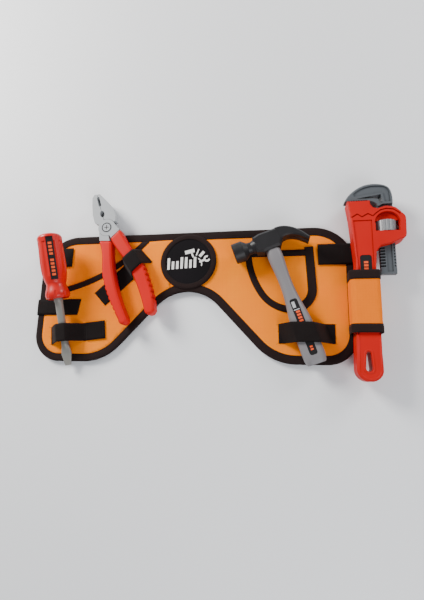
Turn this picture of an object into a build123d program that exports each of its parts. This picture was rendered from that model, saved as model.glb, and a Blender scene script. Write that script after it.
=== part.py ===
"""Toy tool belt with four toy tools: screwdriver, pliers, claw hammer and pipe wrench.

Millimetres. The belt lies flat. +X runs along its length, +Y to its waist edge, +Z up out of its face.
The origin is on the back of the belt, at the centre of the neck, behind the round badge.
"""

import os
from math import cos, radians, sin, tan

from build123d import *

# ---- Belt outline ----
BELT_LENGTH = 390.0
BELT_HEIGHT = 161.0
NECK_HEIGHT = 76.0  # waist edge to the crown of the arch
SHOULDER_R = 47.0
LOBE_OUTER_R = 34.0
LOBE_INNER_R = 62.0
ARCH_R = 50.0
FLANK_ANGLE = 47.0  # slope of the arch's straight flanks

# ---- Cloth, binding and webbing thicknesses and widths ----
LINING_T = 0.8
PANEL_T = 1.6  # outer cloth with its thin foam
BINDING_T = 0.8
BINDING_W = 10.0
POCKET_T = 0.8
TRIM_T = 0.8  # binding tape on pockets, badge and sleeve
TRIM_W = 7.0
WEB_T = 1.2
WEB_W = 25.0
LOOP_T = 1.0
LOOP_W = 22.0
BADGE_D = 70.0
BADGE_T = 1.0
BADGE_RING_W = 5.5
SLEEVE_T = 0.9
PATCH_T = 0.8  # hook or loop tape
PATCH_L = 50.0

# ---- Clearances ----
REST_GAP = 0.5  # between a tool and the cloth under it
LOOP_GAP = 0.8  # between a tool and the loop around it
SLEEVE_GAP = 0.9  # between the wrench handle and its sleeve
RUN_GAP = 0.05  # radial, a pin in its hole
SLIDE_GAP = 0.3  # a sliding or turning piece in its housing
FIT_GAP = 0.1  # a tang or shank in its socket

# ---- Levels that follow from the layers ----
FACE_Z = LINING_T + PANEL_T
EDGE_Z = FACE_Z + BINDING_T
POCKET_Z = FACE_Z + POCKET_T
TRIM_Z = POCKET_Z + TRIM_T
DECK_Z = max(EDGE_Z, POCKET_Z)
STRAP_TOP_Z = DECK_Z + WEB_T
BACK_Z = -BINDING_T

# ---- Belt limits ----
HALF = BELT_LENGTH / 2
TOP_Y = NECK_HEIGHT / 2
BOTTOM_Y = TOP_Y - BELT_HEIGHT

# ---- Waist straps and side strap ----
STRAP_IN = 41.0  # length of each sewn patch in from the belt's end
LEFT_STRAP_Y = 10.0
RIGHT_STRAP_Y = 3.6
FOLD_IN = 95.0  # where the strap folds down behind the belt, from the belt's end
STRAP_DROP = 94.0  # how far the folded strap runs down behind the lobe
SIDE_STRAP_Y = -55.6
SIDE_STRAP_W = 20.0
SIDE_STRAP_IN = 57.0
SIDE_STRAP_TAIL = 24.0

# ---- Left pocket ----
LEFT_POCKET_R = 194.0  # the sloping mouth is one arc
LEFT_POCKET_CENTRE = (-203.2, 159.3)
LEFT_POCKET_END_X = -20.0  # the seam hidden behind the badge

# ---- Right pocket ----
RIGHT_POCKET_X = 70.5
RIGHT_POCKET_Y = 9.8
RIGHT_POCKET_ARCS = ((95.0, 35.0), (44.6, 47.0))  # radius and turn of its left side
RIGHT_POCKET_FOOT = 3.0
RIGHT_POCKET_CORNER = (26.5, 101.2)
RIGHT_POCKET_MOUTH_W = 7.0
RIGHT_POCKET_SIDE_W = 9.6  # the tape up its straight side is wider
RIGHT_POCKET_WIDE_X = 130.0  # from here on towards the straight side
RIGHT_POCKET_SEAM_X = 87.0  # the side tape leaves the mouth free from here

# ---- Loops: footprint centre, length and turn on the belt ----
SCREWDRIVER_LOOP = (-136.9, -88.2, 71.3, 6.8)
SCREWDRIVER_LOOP_DOUBLE = 24.0  # its end is folded under itself
SCREWDRIVER_LOOP_S = 123.2  # from the crown, where the loop crosses
PLIERS_LOOP = (-82.4, -18.7, 79.9, 43.6)
HAMMER_LOOP = (139.2, -88.8, 62.0, 0.0)
SCREWDRIVER_LOOP_LEAN = 14.0  # run of a loop's slope, from the tool down to the cloth
PLIERS_LOOP_LEAN = 5.0
HAMMER_LOOP_LEAN = 10.0

# ---- Screwdriver ----
SD_CROWN = (-171.5, 29.7)
SD_ANGLE = 9.8  # from -Y towards +X
SD_TILT = 10.0  # handle end up
SD_LENGTH = 162.5
SD_HANDLE_R = 15.0
SD_CROWN_R = 14.8
SD_WAIST_R = 11.6
SD_WAIST_S = 61.6
SD_HANDLE_L = 80.2
SD_FLUTES = 8
SD_FLUTE_R = 4.2
SD_SHAFT_R = 4.8
SD_SHANK_IN = 24.0
SD_BLADE_L = 26.0
SD_BLADE_W = 12.6
SD_BLADE_T = 2.6
SD_TIP_W = 7.0
SD_LABEL_W = 8.4
SD_LABEL_S = 5.0
SD_LABEL_L = 53.0
SD_LABEL_T = 0.9
SD_LABEL_TURN = 26.0  # round the handle, towards +X

# ---- Pliers ----
PIVOT = (-103.6, 43.2)
HUB_R = 11.0
RIVET_HEAD_R = 6.4
RIVET_R = 4.0
RIVET_GROOVE_R = 5.7
RIVET_GROOVE_W = 1.2
RIVET_GROOVE_DEEP = 1.8
PARTING_GAP = 0.3  # each jaw stands this far off the line where they meet
JAW_T = 10.0
GRIP_T = 15.0
GRIP_EDGE_R = 3.2
NOTCHES = 7
NOTCH_R = 1.9
TANG_W = 7.0
TANG_T = 6.0
PLIERS_SLIDE_ANGLE = 22.0

# ---- Hammer ----
HM_EYE = (98.8, 17.3)  # where the handle's axis meets the head's
HM_ANGLE = 19.7
HM_TILT = 1.5
HM_POLL_R = 12.0
HM_HEAD_T = 20.0
HM_FACET = 2.6
HM_SPLIT_S = 18.0  # where the claw divides
HM_SPLIT = 3.6
HM_FACE_L = 43.7  # striking face from the handle's axis
HM_HANDLE_L = 148.0
HM_HANDLE_T = 16.0
HM_NECK_W = 15.8
HM_WAIST_W = 14.2
HM_GRIP_W = 24.4
HM_LABEL_W = 8.6
HM_LABEL_S = (74.0, 138.0)
HM_LABEL_T = 0.9

# ---- Pipe wrench ----
WR_X = HALF + 5.3  # the handle's axis
WR_T = 20.0
WR_END_Y = -140.0
WR_JAW_Y = 58.0  # the toothed heel jaw's face
WR_EDGE_R = 2.6
SHANK_X = WR_X + 26.4
SHANK_W = 16.0
SHANK_T = 6.5
SHANK_END_Y = -25.4
HOOK_T = 12.0
HOOK_RELIEF = 1.2
HOOK_RIM = 2.4
RACK_DEEP = 5.0
RACK_FINE = 1.4
RACK_FLOOR = 1.6
RACK_PITCH = 3.4
RACK_TEETH = 10
RACK_START = 24.0
WHEEL_R = 11.0
WHEEL_BORE_R = 8.9
WHEEL_Y = 28.2
WHEEL_L = 12.4
WHEEL_RIDGES = 18
WHEEL_RIDGE_R = 1.1
WHEEL_SIDE_GAP = 1.6
DOME_Y = 30.8
DOME_R = 13.3
DOME_DEEP = 4.0
JAW_GAP = 1.6
SLOT_LOW = (WR_X - 1.0, -126.4)
SLOT_LOW_R = 3.5
SLOT_HIGH = (WR_X - 1.0, -111.8)
SLOT_HIGH_R = 2.3
WR_LABEL_W = 12.2
WR_LABEL_L = 72.0
WR_LABEL_X = 1.8  # from the handle's axis
WR_LABEL_Y = -5.3
WR_LABEL_R = 3.0
WR_LABEL_T = 0.9
SLEEVE_Y = (-90.0, -22.5)
SLEEVE_CORNER_R = 3.5
SLEEVE_TRIM_W = 9.0

# ---- Heights of the tools above the belt ----
PLIERS_Z = POCKET_Z + 2 * LOOP_T + REST_GAP + 0.1
PLIERS_MID = PLIERS_Z + GRIP_T / 2
HM_AXIS_Z = TRIM_Z + REST_GAP + HM_POLL_R
SD_AXIS_Z = STRAP_TOP_Z + REST_GAP + SD_HANDLE_R + SD_HANDLE_L * tan(radians(SD_TILT))
SLEEVE_Z = EDGE_Z + TRIM_T
WR_Z = SLEEVE_Z + SLEEVE_T + SLEEVE_GAP
WR_MID = WR_Z + WR_T / 2
WR_TOP = WR_Z + WR_T
FAR = 400.0  # longer than the object, for cuts that go right through

os.makedirs("parts", exist_ok=True)


def keep(block, label):
    """Labels a finished piece and writes its file."""
    block.part.label = label
    export_step(block.part, f"parts/{label}.step")


def belt_outline(inset=0.0):
    """The belt's outline, two lobes joined by a neck, set in by the given distance."""
    slope = radians(FLANK_ANGLE)
    apex_y = TOP_Y - NECK_HEIGHT + ARCH_R * (1 / cos(slope) - 1)
    foot_x = (apex_y - BOTTOM_Y) / tan(slope)
    with BuildSketch() as outline:
        with BuildLine():
            Polyline(
                (-HALF, TOP_Y),
                (HALF, TOP_Y),
                (HALF, BOTTOM_Y),
                (foot_x, BOTTOM_Y),
                (0, apex_y),
                (-foot_x, BOTTOM_Y),
                (-HALF, BOTTOM_Y),
                close=True,
            )
        make_face()
        rounds = [
            (HALF, TOP_Y, SHOULDER_R),
            (HALF, BOTTOM_Y, LOBE_OUTER_R),
            (foot_x, BOTTOM_Y, LOBE_INNER_R),
            (0, apex_y, ARCH_R),
        ]
        for x, y, radius in rounds:
            near = [v for v in outline.vertices() if abs(abs(v.X) - x) < 0.1]
            fillet([v for v in near if abs(v.Y - y) < 0.1], radius)
        if inset:
            offset(amount=-inset, kind=Kind.INTERSECTION)
    return outline.sketch


def right_pocket_outline(inset=0.0):
    """The D-shaped pocket: an open curve down, round and up, closed across its mouth."""
    with BuildSketch() as outline:
        with BuildLine() as path:
            start = (RIGHT_POCKET_X, RIGHT_POCKET_Y)
            upper = JernArc(start, (0, -1), *RIGHT_POCKET_ARCS[0])
            lower = JernArc(upper @ 1, upper % 1, *RIGHT_POCKET_ARCS[1])
            foot = Line(lower @ 1, (lower @ 1) + (lower % 1) * RIGHT_POCKET_FOOT)
            corner = JernArc(foot @ 1, foot % 1, *RIGHT_POCKET_CORNER)
            rise = (RIGHT_POCKET_Y - (corner @ 1).Y) / (corner % 1).Y
            side = Line(corner @ 1, (corner @ 1) + (corner % 1) * rise)
            Line(side @ 1, start)
        make_face()
        if inset:
            offset(amount=-inset, kind=Kind.INTERSECTION)
    return outline.sketch


def tool_plane(point, angle, tilt, height):
    """A tool's plane: X along the tool towards its far end, Y across it, Z up. angle is from -Y towards +X."""
    a = radians(angle)
    t = radians(tilt)
    along = (cos(t) * sin(a), -cos(t) * cos(a), -sin(t))
    upward = (sin(t) * sin(a), -sin(t) * cos(a), cos(t))
    return Plane(origin=(point[0], point[1], height), x_dir=along, z_dir=upward)


def across_plane(point, angle):
    """A vertical plane square to a tool: X across the tool, Y up."""
    a = radians(angle)
    return Plane(origin=(point[0], point[1], 0), x_dir=(cos(a), sin(a), 0), z_dir=(sin(a), -cos(a), 0))


def loop_solid(tool_point, angle, half_width, top_z, foot_z, footprint, width, lean):
    """A webbing loop: two sewn feet and an arch over a tool, cut to its footprint."""
    mid_foot = foot_z + LOOP_T / 2
    mid_top = top_z + LOOP_T / 2
    side = half_width + LOOP_T / 2
    with BuildPart() as loop:
        with BuildSketch(across_plane(tool_point, angle)):
            with BuildLine():
                FilletPolyline(
                    (-FAR / 2, mid_foot),
                    (-side - lean, mid_foot),
                    (-side, mid_top),
                    (side, mid_top),
                    (side + lean, mid_foot),
                    (FAR / 2, mid_foot),
                    radius=2.5,
                )
            trace(line_width=LOOP_T)
        extrude(amount=FAR / 4, both=True)
        x, y, length, turn = footprint
        with BuildSketch():
            with Locations((x, y)):
                Rectangle(length, width, rotation=turn)
        extrude(amount=FAR / 4, mode=Mode.INTERSECT)
    return loop


# ---- Belt: lining, panel, binding ----
with BuildPart() as back_lining:
    add(belt_outline(BINDING_T))
    extrude(amount=LINING_T)
keep(back_lining, "back_lining")

with BuildPart() as front_panel:
    with BuildSketch(Plane.XY.offset(LINING_T)):
        add(belt_outline(BINDING_T))
    extrude(amount=PANEL_T)
keep(front_panel, "front_panel")

with BuildPart() as edge_binding:
    with BuildSketch(Plane.XY.offset(BACK_Z)):
        add(belt_outline())
        add(belt_outline(BINDING_W), mode=Mode.SUBTRACT)
    extrude(amount=EDGE_Z - BACK_Z)
    with BuildSketch():
        add(belt_outline(BINDING_T))
    extrude(amount=FACE_Z, mode=Mode.SUBTRACT)
keep(edge_binding, "edge_binding")

# ---- Badge: a disc in a folded ring of tape ----
with BuildPart() as badge_disc:
    with BuildSketch(Plane.XY.offset(EDGE_Z)):
        Circle(BADGE_D / 2 - TRIM_T)
    extrude(amount=BADGE_T)
keep(badge_disc, "badge_disc")

with BuildPart() as badge_ring:
    with BuildSketch(Plane.XY.offset(EDGE_Z)):
        Circle(BADGE_D / 2)
        Circle(BADGE_D / 2 - BADGE_RING_W, mode=Mode.SUBTRACT)
    extrude(amount=BADGE_T + TRIM_T)
    with BuildSketch(Plane.XY.offset(EDGE_Z)):
        Circle(BADGE_D / 2 - TRIM_T)
    extrude(amount=BADGE_T, mode=Mode.SUBTRACT)
    fillet(badge_ring.edges().group_by(Axis.Z)[-1].sort_by(SortBy.LENGTH)[-1], TRIM_T / 2)
keep(badge_ring, "badge_ring")


# ---- Left pocket: everything below a sloping arc ----
def left_pocket_cutter(shift=0.0):
    """The disc above the left pocket's sloping mouth."""
    with BuildSketch() as disc:
        with Locations(LEFT_POCKET_CENTRE):
            Circle(LEFT_POCKET_R + shift)
    return disc.sketch


with BuildPart() as left_pocket_panel:
    with BuildSketch(Plane.XY.offset(FACE_Z)):
        add(belt_outline(BINDING_W))
        with Locations((LEFT_POCKET_END_X, 0)):
            Rectangle(FAR, FAR, align=(Align.MIN, Align.CENTER), mode=Mode.SUBTRACT)
        add(left_pocket_cutter(), mode=Mode.SUBTRACT)
    extrude(amount=POCKET_T)
keep(left_pocket_panel, "left_pocket_panel")

with BuildPart() as left_pocket_binding:
    with BuildSketch(Plane.XY.offset(POCKET_Z)):
        add(belt_outline(BINDING_W))
        with Locations((LEFT_POCKET_END_X, 0)):
            Rectangle(FAR, FAR, align=(Align.MIN, Align.CENTER), mode=Mode.SUBTRACT)
        add(left_pocket_cutter(), mode=Mode.SUBTRACT)
        add(left_pocket_cutter(TRIM_W), mode=Mode.INTERSECT)
    extrude(amount=TRIM_T)
    with BuildSketch(Plane.XY.offset(FACE_Z)):
        add(belt_outline(BINDING_W))
        with Locations((LEFT_POCKET_END_X, 0)):
            Rectangle(FAR, FAR, align=(Align.MIN, Align.CENTER), mode=Mode.SUBTRACT)
        add(left_pocket_cutter(-TRIM_T), mode=Mode.SUBTRACT)
        add(left_pocket_cutter(), mode=Mode.INTERSECT)
    extrude(amount=POCKET_T + TRIM_T)
keep(left_pocket_binding, "left_pocket_binding")

# ---- Right pocket ----
with BuildPart() as right_pocket_panel:
    with BuildSketch(Plane.XY.offset(FACE_Z)):
        add(right_pocket_outline(TRIM_T))
    extrude(amount=POCKET_T)
keep(right_pocket_panel, "right_pocket_panel")

with BuildSketch() as wide_tape:
    add(right_pocket_outline())
    add(right_pocket_outline(RIGHT_POCKET_SIDE_W), mode=Mode.SUBTRACT)
    with Locations((RIGHT_POCKET_WIDE_X, 0)):
        Rectangle(FAR, FAR, align=(Align.MAX, Align.CENTER), mode=Mode.SUBTRACT)

with BuildPart() as right_pocket_side_binding:
    side_x = max(v.X for v in right_pocket_outline().vertices() if v.Y > RIGHT_POCKET_Y - 1)
    mouth_length = side_x - RIGHT_POCKET_SIDE_W - RIGHT_POCKET_SEAM_X
    with BuildSketch(Plane.XY.offset(FACE_Z)):
        add(right_pocket_outline())
        add(right_pocket_outline(TRIM_W + TRIM_T), mode=Mode.SUBTRACT)
        add(wide_tape.sketch)
        with Locations((0, RIGHT_POCKET_Y - TRIM_T)):
            Rectangle(FAR, FAR, align=(Align.CENTER, Align.MIN), mode=Mode.SUBTRACT)
        with Locations((RIGHT_POCKET_SEAM_X, RIGHT_POCKET_Y - RIGHT_POCKET_SIDE_W - TRIM_T)):
            Rectangle(mouth_length, TRIM_W * 2, align=(Align.MIN, Align.MIN), mode=Mode.SUBTRACT)
    extrude(amount=POCKET_T + TRIM_T)
    with BuildSketch(Plane.XY.offset(FACE_Z)):
        add(right_pocket_outline(TRIM_T))
    extrude(amount=POCKET_T, mode=Mode.SUBTRACT)
keep(right_pocket_side_binding, "right_pocket_side_binding")

with BuildPart() as right_pocket_mouth_binding:
    with BuildSketch(Plane.XY.offset(FACE_Z)):
        add(right_pocket_outline())
        with Locations((0, RIGHT_POCKET_Y - RIGHT_POCKET_MOUTH_W)):
            Rectangle(FAR, FAR, align=(Align.CENTER, Align.MAX), mode=Mode.SUBTRACT)
    extrude(amount=POCKET_T + TRIM_T)
    add(right_pocket_panel.part, mode=Mode.SUBTRACT)
    add(right_pocket_side_binding.part, mode=Mode.SUBTRACT)
keep(right_pocket_mouth_binding, "right_pocket_mouth_binding")


# ---- Webbing round the belt's ends ----
def end_strap(side, y, width, inner, base, under):
    """Webbing sewn to the face, carried round the belt's end (side -1 left, +1 right) and under it."""
    level = base + WEB_T / 2
    over = DECK_Z + WEB_T / 2
    below = BACK_Z - WEB_T / 2
    turn_x = HALF + WEB_T / 2
    step_x = HALF - BINDING_W - 1.0
    ramp = 3.0
    points = [
        (side * (HALF - inner), level),
        (side * (step_x - ramp), level),
        (side * step_x, over),
        (side * turn_x, over),
        (side * turn_x, below),
        (side * (HALF - under), below),
    ]
    if abs(over - level) < 0.01:
        del points[1:3]
    with BuildPart() as strap:
        with BuildSketch(Plane.XZ.offset(-y)):
            with BuildLine():
                FilletPolyline(*points, radius=WEB_T * 0.52)
            trace(line_width=WEB_T)
        extrude(amount=width / 2, both=True)
    return strap


with BuildPart() as left_side_strap:
    add(end_strap(-1, SIDE_STRAP_Y, SIDE_STRAP_W, SIDE_STRAP_IN, POCKET_Z, SIDE_STRAP_TAIL).part)
keep(left_side_strap, "left_side_strap")


def waist_strap(side, y):
    """A waist strap: sewn patch, turn round the end, run behind the belt, fold and run down the lobe."""
    fold_x = side * (HALF - FOLD_IN)
    with BuildPart() as strap:
        add(end_strap(side, y, WEB_W, STRAP_IN, DECK_Z, FOLD_IN).part)
        with BuildSketch(Plane.XY.offset(BACK_Z - 2 * WEB_T)):
            with Locations((fold_x + side * WEB_W / 2, y + WEB_W / 2)):
                Rectangle(WEB_W, STRAP_DROP + WEB_W, align=(Align.CENTER, Align.MAX))
        extrude(amount=WEB_T)
    return strap


with BuildPart() as waist_strap_left:
    add(waist_strap(-1, LEFT_STRAP_Y).part)
keep(waist_strap_left, "waist_strap_left")

with BuildPart() as waist_strap_right:
    add(waist_strap(1, RIGHT_STRAP_Y).part)
keep(waist_strap_right, "waist_strap_right")


def strap_patch(side, y):
    """Hook or loop tape sewn on a waist strap's free end."""
    centre_x = side * (HALF - FOLD_IN + WEB_W / 2)
    end_y = y - WEB_W / 2 - STRAP_DROP
    with BuildPart() as patch:
        with BuildSketch(Plane.XY.offset(BACK_Z - WEB_T)):
            with Locations((centre_x, end_y + 2)):
                Rectangle(WEB_W - 3, PATCH_L, align=(Align.CENTER, Align.MIN))
        extrude(amount=PATCH_T)
    return patch


with BuildPart() as hook_patch:
    add(strap_patch(-1, LEFT_STRAP_Y).part)
keep(hook_patch, "hook_patch")

with BuildPart() as loop_patch:
    add(strap_patch(1, RIGHT_STRAP_Y).part)
keep(loop_patch, "loop_patch")

# ---- Screwdriver ----
SD = tool_plane(SD_CROWN, SD_ANGLE, SD_TILT, SD_AXIS_Z)
SD_LABEL_R = SD_HANDLE_R - 2.3
LABEL_TURN = radians(SD_LABEL_TURN)
label_up = SD.z_dir * cos(LABEL_TURN) + SD.y_dir * sin(LABEL_TURN)
label_plane = Plane(SD.origin, x_dir=SD.x_dir, z_dir=label_up)

with BuildPart() as screwdriver_handle:
    with BuildSketch(SD):
        with BuildLine():
            crown = Line((0, 0), (0, SD_CROWN_R - 5))
            dome = ThreePointArc(crown @ 1, (1.6, SD_CROWN_R - 1.7), (5, SD_CROWN_R - 0.1))
            barrel = Spline(dome @ 1, (34, SD_HANDLE_R), (52, SD_HANDLE_R - 1.0), (SD_WAIST_S, SD_WAIST_R))
            flare = Spline(
                barrel @ 1,
                (SD_WAIST_S + 9, SD_HANDLE_R - 1.6),
                (SD_HANDLE_L - 3, SD_HANDLE_R - 0.9),
                (SD_HANDLE_L, SD_HANDLE_R - 2.6),
            )
            Polyline(flare @ 1, (SD_HANDLE_L, 0), (0, 0))
        make_face()
    revolve(axis=Axis(SD.origin, SD.x_dir))
    flute_start = Plane(origin=SD.origin, x_dir=SD.y_dir, z_dir=SD.x_dir)
    with BuildSketch(flute_start.offset(10)):
        with PolarLocations(SD_HANDLE_R + 2.6, SD_FLUTES, start_angle=90 + SD_LABEL_TURN + 180 / SD_FLUTES):
            Circle(SD_FLUTE_R)
    extrude(amount=SD_WAIST_S - 18, mode=Mode.SUBTRACT)
    # scallops round the collar's rim
    with BuildSketch(flute_start.offset(SD_WAIST_S + 10)):
        with PolarLocations(SD_HANDLE_R + 1.8, SD_FLUTES, start_angle=90 + SD_LABEL_TURN):
            Circle(SD_FLUTE_R * 0.8)
    extrude(amount=SD_HANDLE_L, mode=Mode.SUBTRACT)
    with BuildSketch(flute_start.offset(SD_HANDLE_L - SD_SHANK_IN)):
        Circle(SD_SHAFT_R + 0.6 + FIT_GAP)
    extrude(amount=SD_SHANK_IN, mode=Mode.SUBTRACT)
    with BuildSketch(label_plane.offset(SD_LABEL_R)):
        with Locations((SD_LABEL_S, 0)):
            Rectangle(SD_LABEL_L, SD_LABEL_W, align=(Align.MIN, Align.CENTER))
    extrude(amount=10, mode=Mode.SUBTRACT)
keep(screwdriver_handle, "screwdriver_handle")

with BuildPart() as screwdriver_label:
    with BuildSketch(label_plane.offset(SD_LABEL_R)):
        with Locations((SD_LABEL_S + FIT_GAP, 0)):
            Rectangle(SD_LABEL_L - 2 * FIT_GAP, SD_LABEL_W - 2 * FIT_GAP, align=(Align.MIN, Align.CENTER))
    extrude(amount=SD_LABEL_T)
keep(screwdriver_label, "screwdriver_label")

with BuildPart() as screwdriver_shaft:
    with BuildSketch(SD):
        with BuildLine():
            blade_s = SD_LENGTH - SD_BLADE_L
            Polyline(
                (SD_HANDLE_L - SD_SHANK_IN, 0),
                (SD_HANDLE_L - SD_SHANK_IN, SD_SHAFT_R + 0.6),
                (SD_HANDLE_L + 2, SD_SHAFT_R + 0.6),
                (SD_HANDLE_L + 5, SD_SHAFT_R),
                (blade_s, SD_SHAFT_R - 0.4),
                (blade_s, 0),
                close=True,
            )
        make_face()
    revolve(axis=Axis(SD.origin, SD.x_dir))
    with BuildSketch(flute_start.offset(blade_s)):
        Circle(SD_SHAFT_R - 0.4)
    with BuildSketch(flute_start.offset(SD_LENGTH - 14)):
        RectangleRounded(SD_BLADE_W, SD_BLADE_T + 1.4, 1.2)
    loft()
    with BuildSketch(flute_start.offset(SD_LENGTH - 14)):
        RectangleRounded(SD_BLADE_W, SD_BLADE_T + 1.4, 1.2)
    with BuildSketch(flute_start.offset(SD_LENGTH)):
        RectangleRounded(SD_TIP_W, SD_BLADE_T - 0.6, 0.5)
    loft()
keep(screwdriver_shaft, "screwdriver_shaft")


def sd_point(s):
    """Where the screwdriver's axis is, s from its crown."""
    return SD.origin + SD.x_dir * s


with BuildPart() as screwdriver_loop:
    sd_at_loop = sd_point(SCREWDRIVER_LOOP_S)
    sd_top = sd_at_loop.Z + SD_SHAFT_R + LOOP_GAP + LOOP_W / 2 * tan(radians(SD_TILT))
    add(
        loop_solid(
            (sd_at_loop.X, sd_at_loop.Y),
            SD_ANGLE,
            SD_BLADE_W / 2 + LOOP_GAP,
            sd_top,
            POCKET_Z,
            SCREWDRIVER_LOOP,
            LOOP_W,
            lean=SCREWDRIVER_LOOP_LEAN,
        ).part
    )
    x, y, length, turn = SCREWDRIVER_LOOP
    with BuildSketch(Plane.XY.offset(POCKET_Z + LOOP_T)):
        with Locations(Plane.XY * Location((x, y), turn)):
            with Locations((length / 2, 0)):
                Rectangle(SCREWDRIVER_LOOP_DOUBLE, LOOP_W, align=(Align.MAX, Align.CENTER))
    extrude(amount=LOOP_T)
keep(screwdriver_loop, "screwdriver_loop")


# ---- Pliers: two crossed levers on one rivet, each with a moulded grip ----
LEFT_TANG = ((-103.9, 30.0), (-100.5, -8.0))
RIGHT_TANG = ((-92.5, 35.0), (-70.0, 6.5))
OVAL = (-111.1, 61.6)
TEETH = (-117.0, 78.8)
TOOTH_R = 1.9
TOOTH_PITCH = 2.5
TEETH_COUNT = 5
JAW_HOLLOW = 7.5


def bar(start, end, width, thickness, grow=0.0):
    """A straight bar from start to end at the pliers' middle height."""
    path = Vector(*end) - Vector(*start)
    plane = Plane(origin=(start[0], start[1], PLIERS_MID), x_dir=path, z_dir=(0, 0, 1))
    with BuildPart() as piece:
        with BuildSketch(plane.offset(-thickness / 2 - grow)):
            Rectangle(path.length + grow, width + 2 * grow, align=(Align.MIN, Align.CENTER))
        extrude(amount=thickness + 2 * grow)
    return piece.part


def lever(jaw_outline, neck_outline, tang, upper):
    """A lever: jaw, hub and tang. Each hub is half the thickness, so that the two cross flat."""
    with BuildPart() as piece:
        with BuildSketch(Plane.XY.offset(PLIERS_MID - JAW_T / 2)):
            with BuildLine():
                Polyline(*jaw_outline, close=True)
            make_face()
            with BuildLine():
                Polyline(*neck_outline, close=True)
            make_face()
            with Locations(PIVOT):
                Circle(HUB_R)
        extrude(amount=JAW_T)
        # gripping hollow and teeth, sunk into the face
        with BuildSketch(Plane.XY.offset(PLIERS_MID + JAW_T / 2 - JAW_HOLLOW)):
            with Locations(OVAL):
                Ellipse(3.0, 4.6, rotation=18)
            with Locations(Plane.XY * Location((TEETH[0], TEETH[1]), -71.6)):
                with GridLocations(TOOTH_PITCH, 0, TEETH_COUNT, 1):
                    Circle(TOOTH_R)
        extrude(amount=JAW_T, mode=Mode.SUBTRACT)
        start = PLIERS_MID - JAW_T if upper else PLIERS_MID
        with BuildSketch(Plane.XY.offset(start)):
            with Locations(PIVOT):
                Circle(HUB_R + SLIDE_GAP)
        extrude(amount=JAW_T + (RUN_GAP if upper else 0), mode=Mode.SUBTRACT)
        add(bar(*tang, TANG_W, TANG_T))
    return piece


def grip(inner, outer, tang, rib_side):
    """A moulded grip between two edges, rounded all over, with a socket for the lever's tang."""
    with BuildPart() as piece:
        with BuildSketch(Plane.XY.offset(PLIERS_Z)) as profile:
            with BuildLine():
                inside = Spline(*inner)
                outside = Spline(*outer)
                Line(inside @ 0, outside @ 0)
                tip = (inside @ 1 + outside @ 1) / 2 + (inside % 1 + outside % 1) * 3.2
                ThreePointArc(inside @ 1, tip, outside @ 1)
            make_face()
            fillet(profile.vertices(), 2.0)
        extrude(amount=GRIP_T)
        fillet(piece.edges().filter_by(Plane.XY), GRIP_EDGE_R)
        add(bar(*tang, TANG_W, TANG_T, FIT_GAP), mode=Mode.SUBTRACT)
        rib_edge = outside if rib_side == "outer" else inside
        for step in range(NOTCHES):
            at = rib_edge @ (0.5 + 0.065 * step)
            with BuildSketch(Plane.XY.offset(PLIERS_Z - 1)):
                with Locations((at.X, at.Y)):
                    Circle(NOTCH_R)
            extrude(amount=GRIP_T + 2, mode=Mode.SUBTRACT)
    return piece


LEFT_JAW = [
    (-120.4 - PARTING_GAP, 89.0),
    (-124.2, 88.6),
    (-126.4, 84.0),
    (-125.6, 73.0),
    (-123.6, 60.0),
    (-120.2, 50.0),
    (-113.8, 47.0),
    (-108.4, 53.2),
    (-111.1 - PARTING_GAP, 61.1),
]
RIGHT_JAW = [
    (-120.4 + PARTING_GAP, 89.0),
    (-116.6, 89.2),
    (-107.5, 80.5),
    (-97.3, 69.4),
    (-93.4, 60.0),
    (-92.9, 51.8),
    (-96.2, 50.4),
    (-103.0, 53.5),
    (-108.0, 54.0),
    (-111.1 + PARTING_GAP, 61.1),
]
LEFT_NECK = [(-113.6, 40.0), (-111.6, 25.8), (-98.2, 25.2), (-100.6, 32.8)]
RIGHT_NECK = [(-93.2, 46.5), (-86.2, 40.0), (-97.0, 29.2), (-99.6, 33.6)]

with BuildPart() as pliers_fixed_lever:
    add(lever(LEFT_JAW, RIGHT_NECK, RIGHT_TANG, True).part)
    with Locations((PIVOT[0], PIVOT[1], PLIERS_MID)):
        Cylinder(RIVET_R, JAW_T * 2, mode=Mode.SUBTRACT)
    with BuildSketch(Plane.XY.offset(PLIERS_MID + JAW_T / 2 - 2)):
        with Locations(PIVOT):
            Circle(RIVET_HEAD_R)
    extrude(amount=4, mode=Mode.SUBTRACT)
keep(pliers_fixed_lever, "pliers_fixed_lever")

with BuildPart() as pliers_moving_lever:
    add(lever(RIGHT_JAW, LEFT_NECK, LEFT_TANG, False).part)
    with Locations((PIVOT[0], PIVOT[1], PLIERS_MID)):
        Cylinder(RIVET_R + RUN_GAP, JAW_T * 2, mode=Mode.SUBTRACT)
keep(pliers_moving_lever, "pliers_moving_lever")

with BuildPart() as pliers_rivet:
    with BuildSketch(Plane.XY.offset(PLIERS_MID - JAW_T / 2)):
        with Locations(PIVOT):
            Circle(RIVET_R)
    extrude(amount=JAW_T)
    with BuildSketch(Plane.XY.offset(PLIERS_MID + JAW_T / 2 - 2)):
        with Locations(PIVOT):
            Circle(RIVET_HEAD_R)
    extrude(amount=2.3)
    with BuildSketch(Plane.XY.offset(PLIERS_MID + JAW_T / 2 - RIVET_GROOVE_DEEP)):
        with Locations(PIVOT):
            Circle(RIVET_GROOVE_R + RIVET_GROOVE_W / 2)
            Circle(RIVET_GROOVE_R - RIVET_GROOVE_W / 2, mode=Mode.SUBTRACT)
            Rectangle(6.0, 0.9)
            Rectangle(0.9, 6.0)
    extrude(amount=3, mode=Mode.SUBTRACT)
keep(pliers_rivet, "pliers_rivet")

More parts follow.
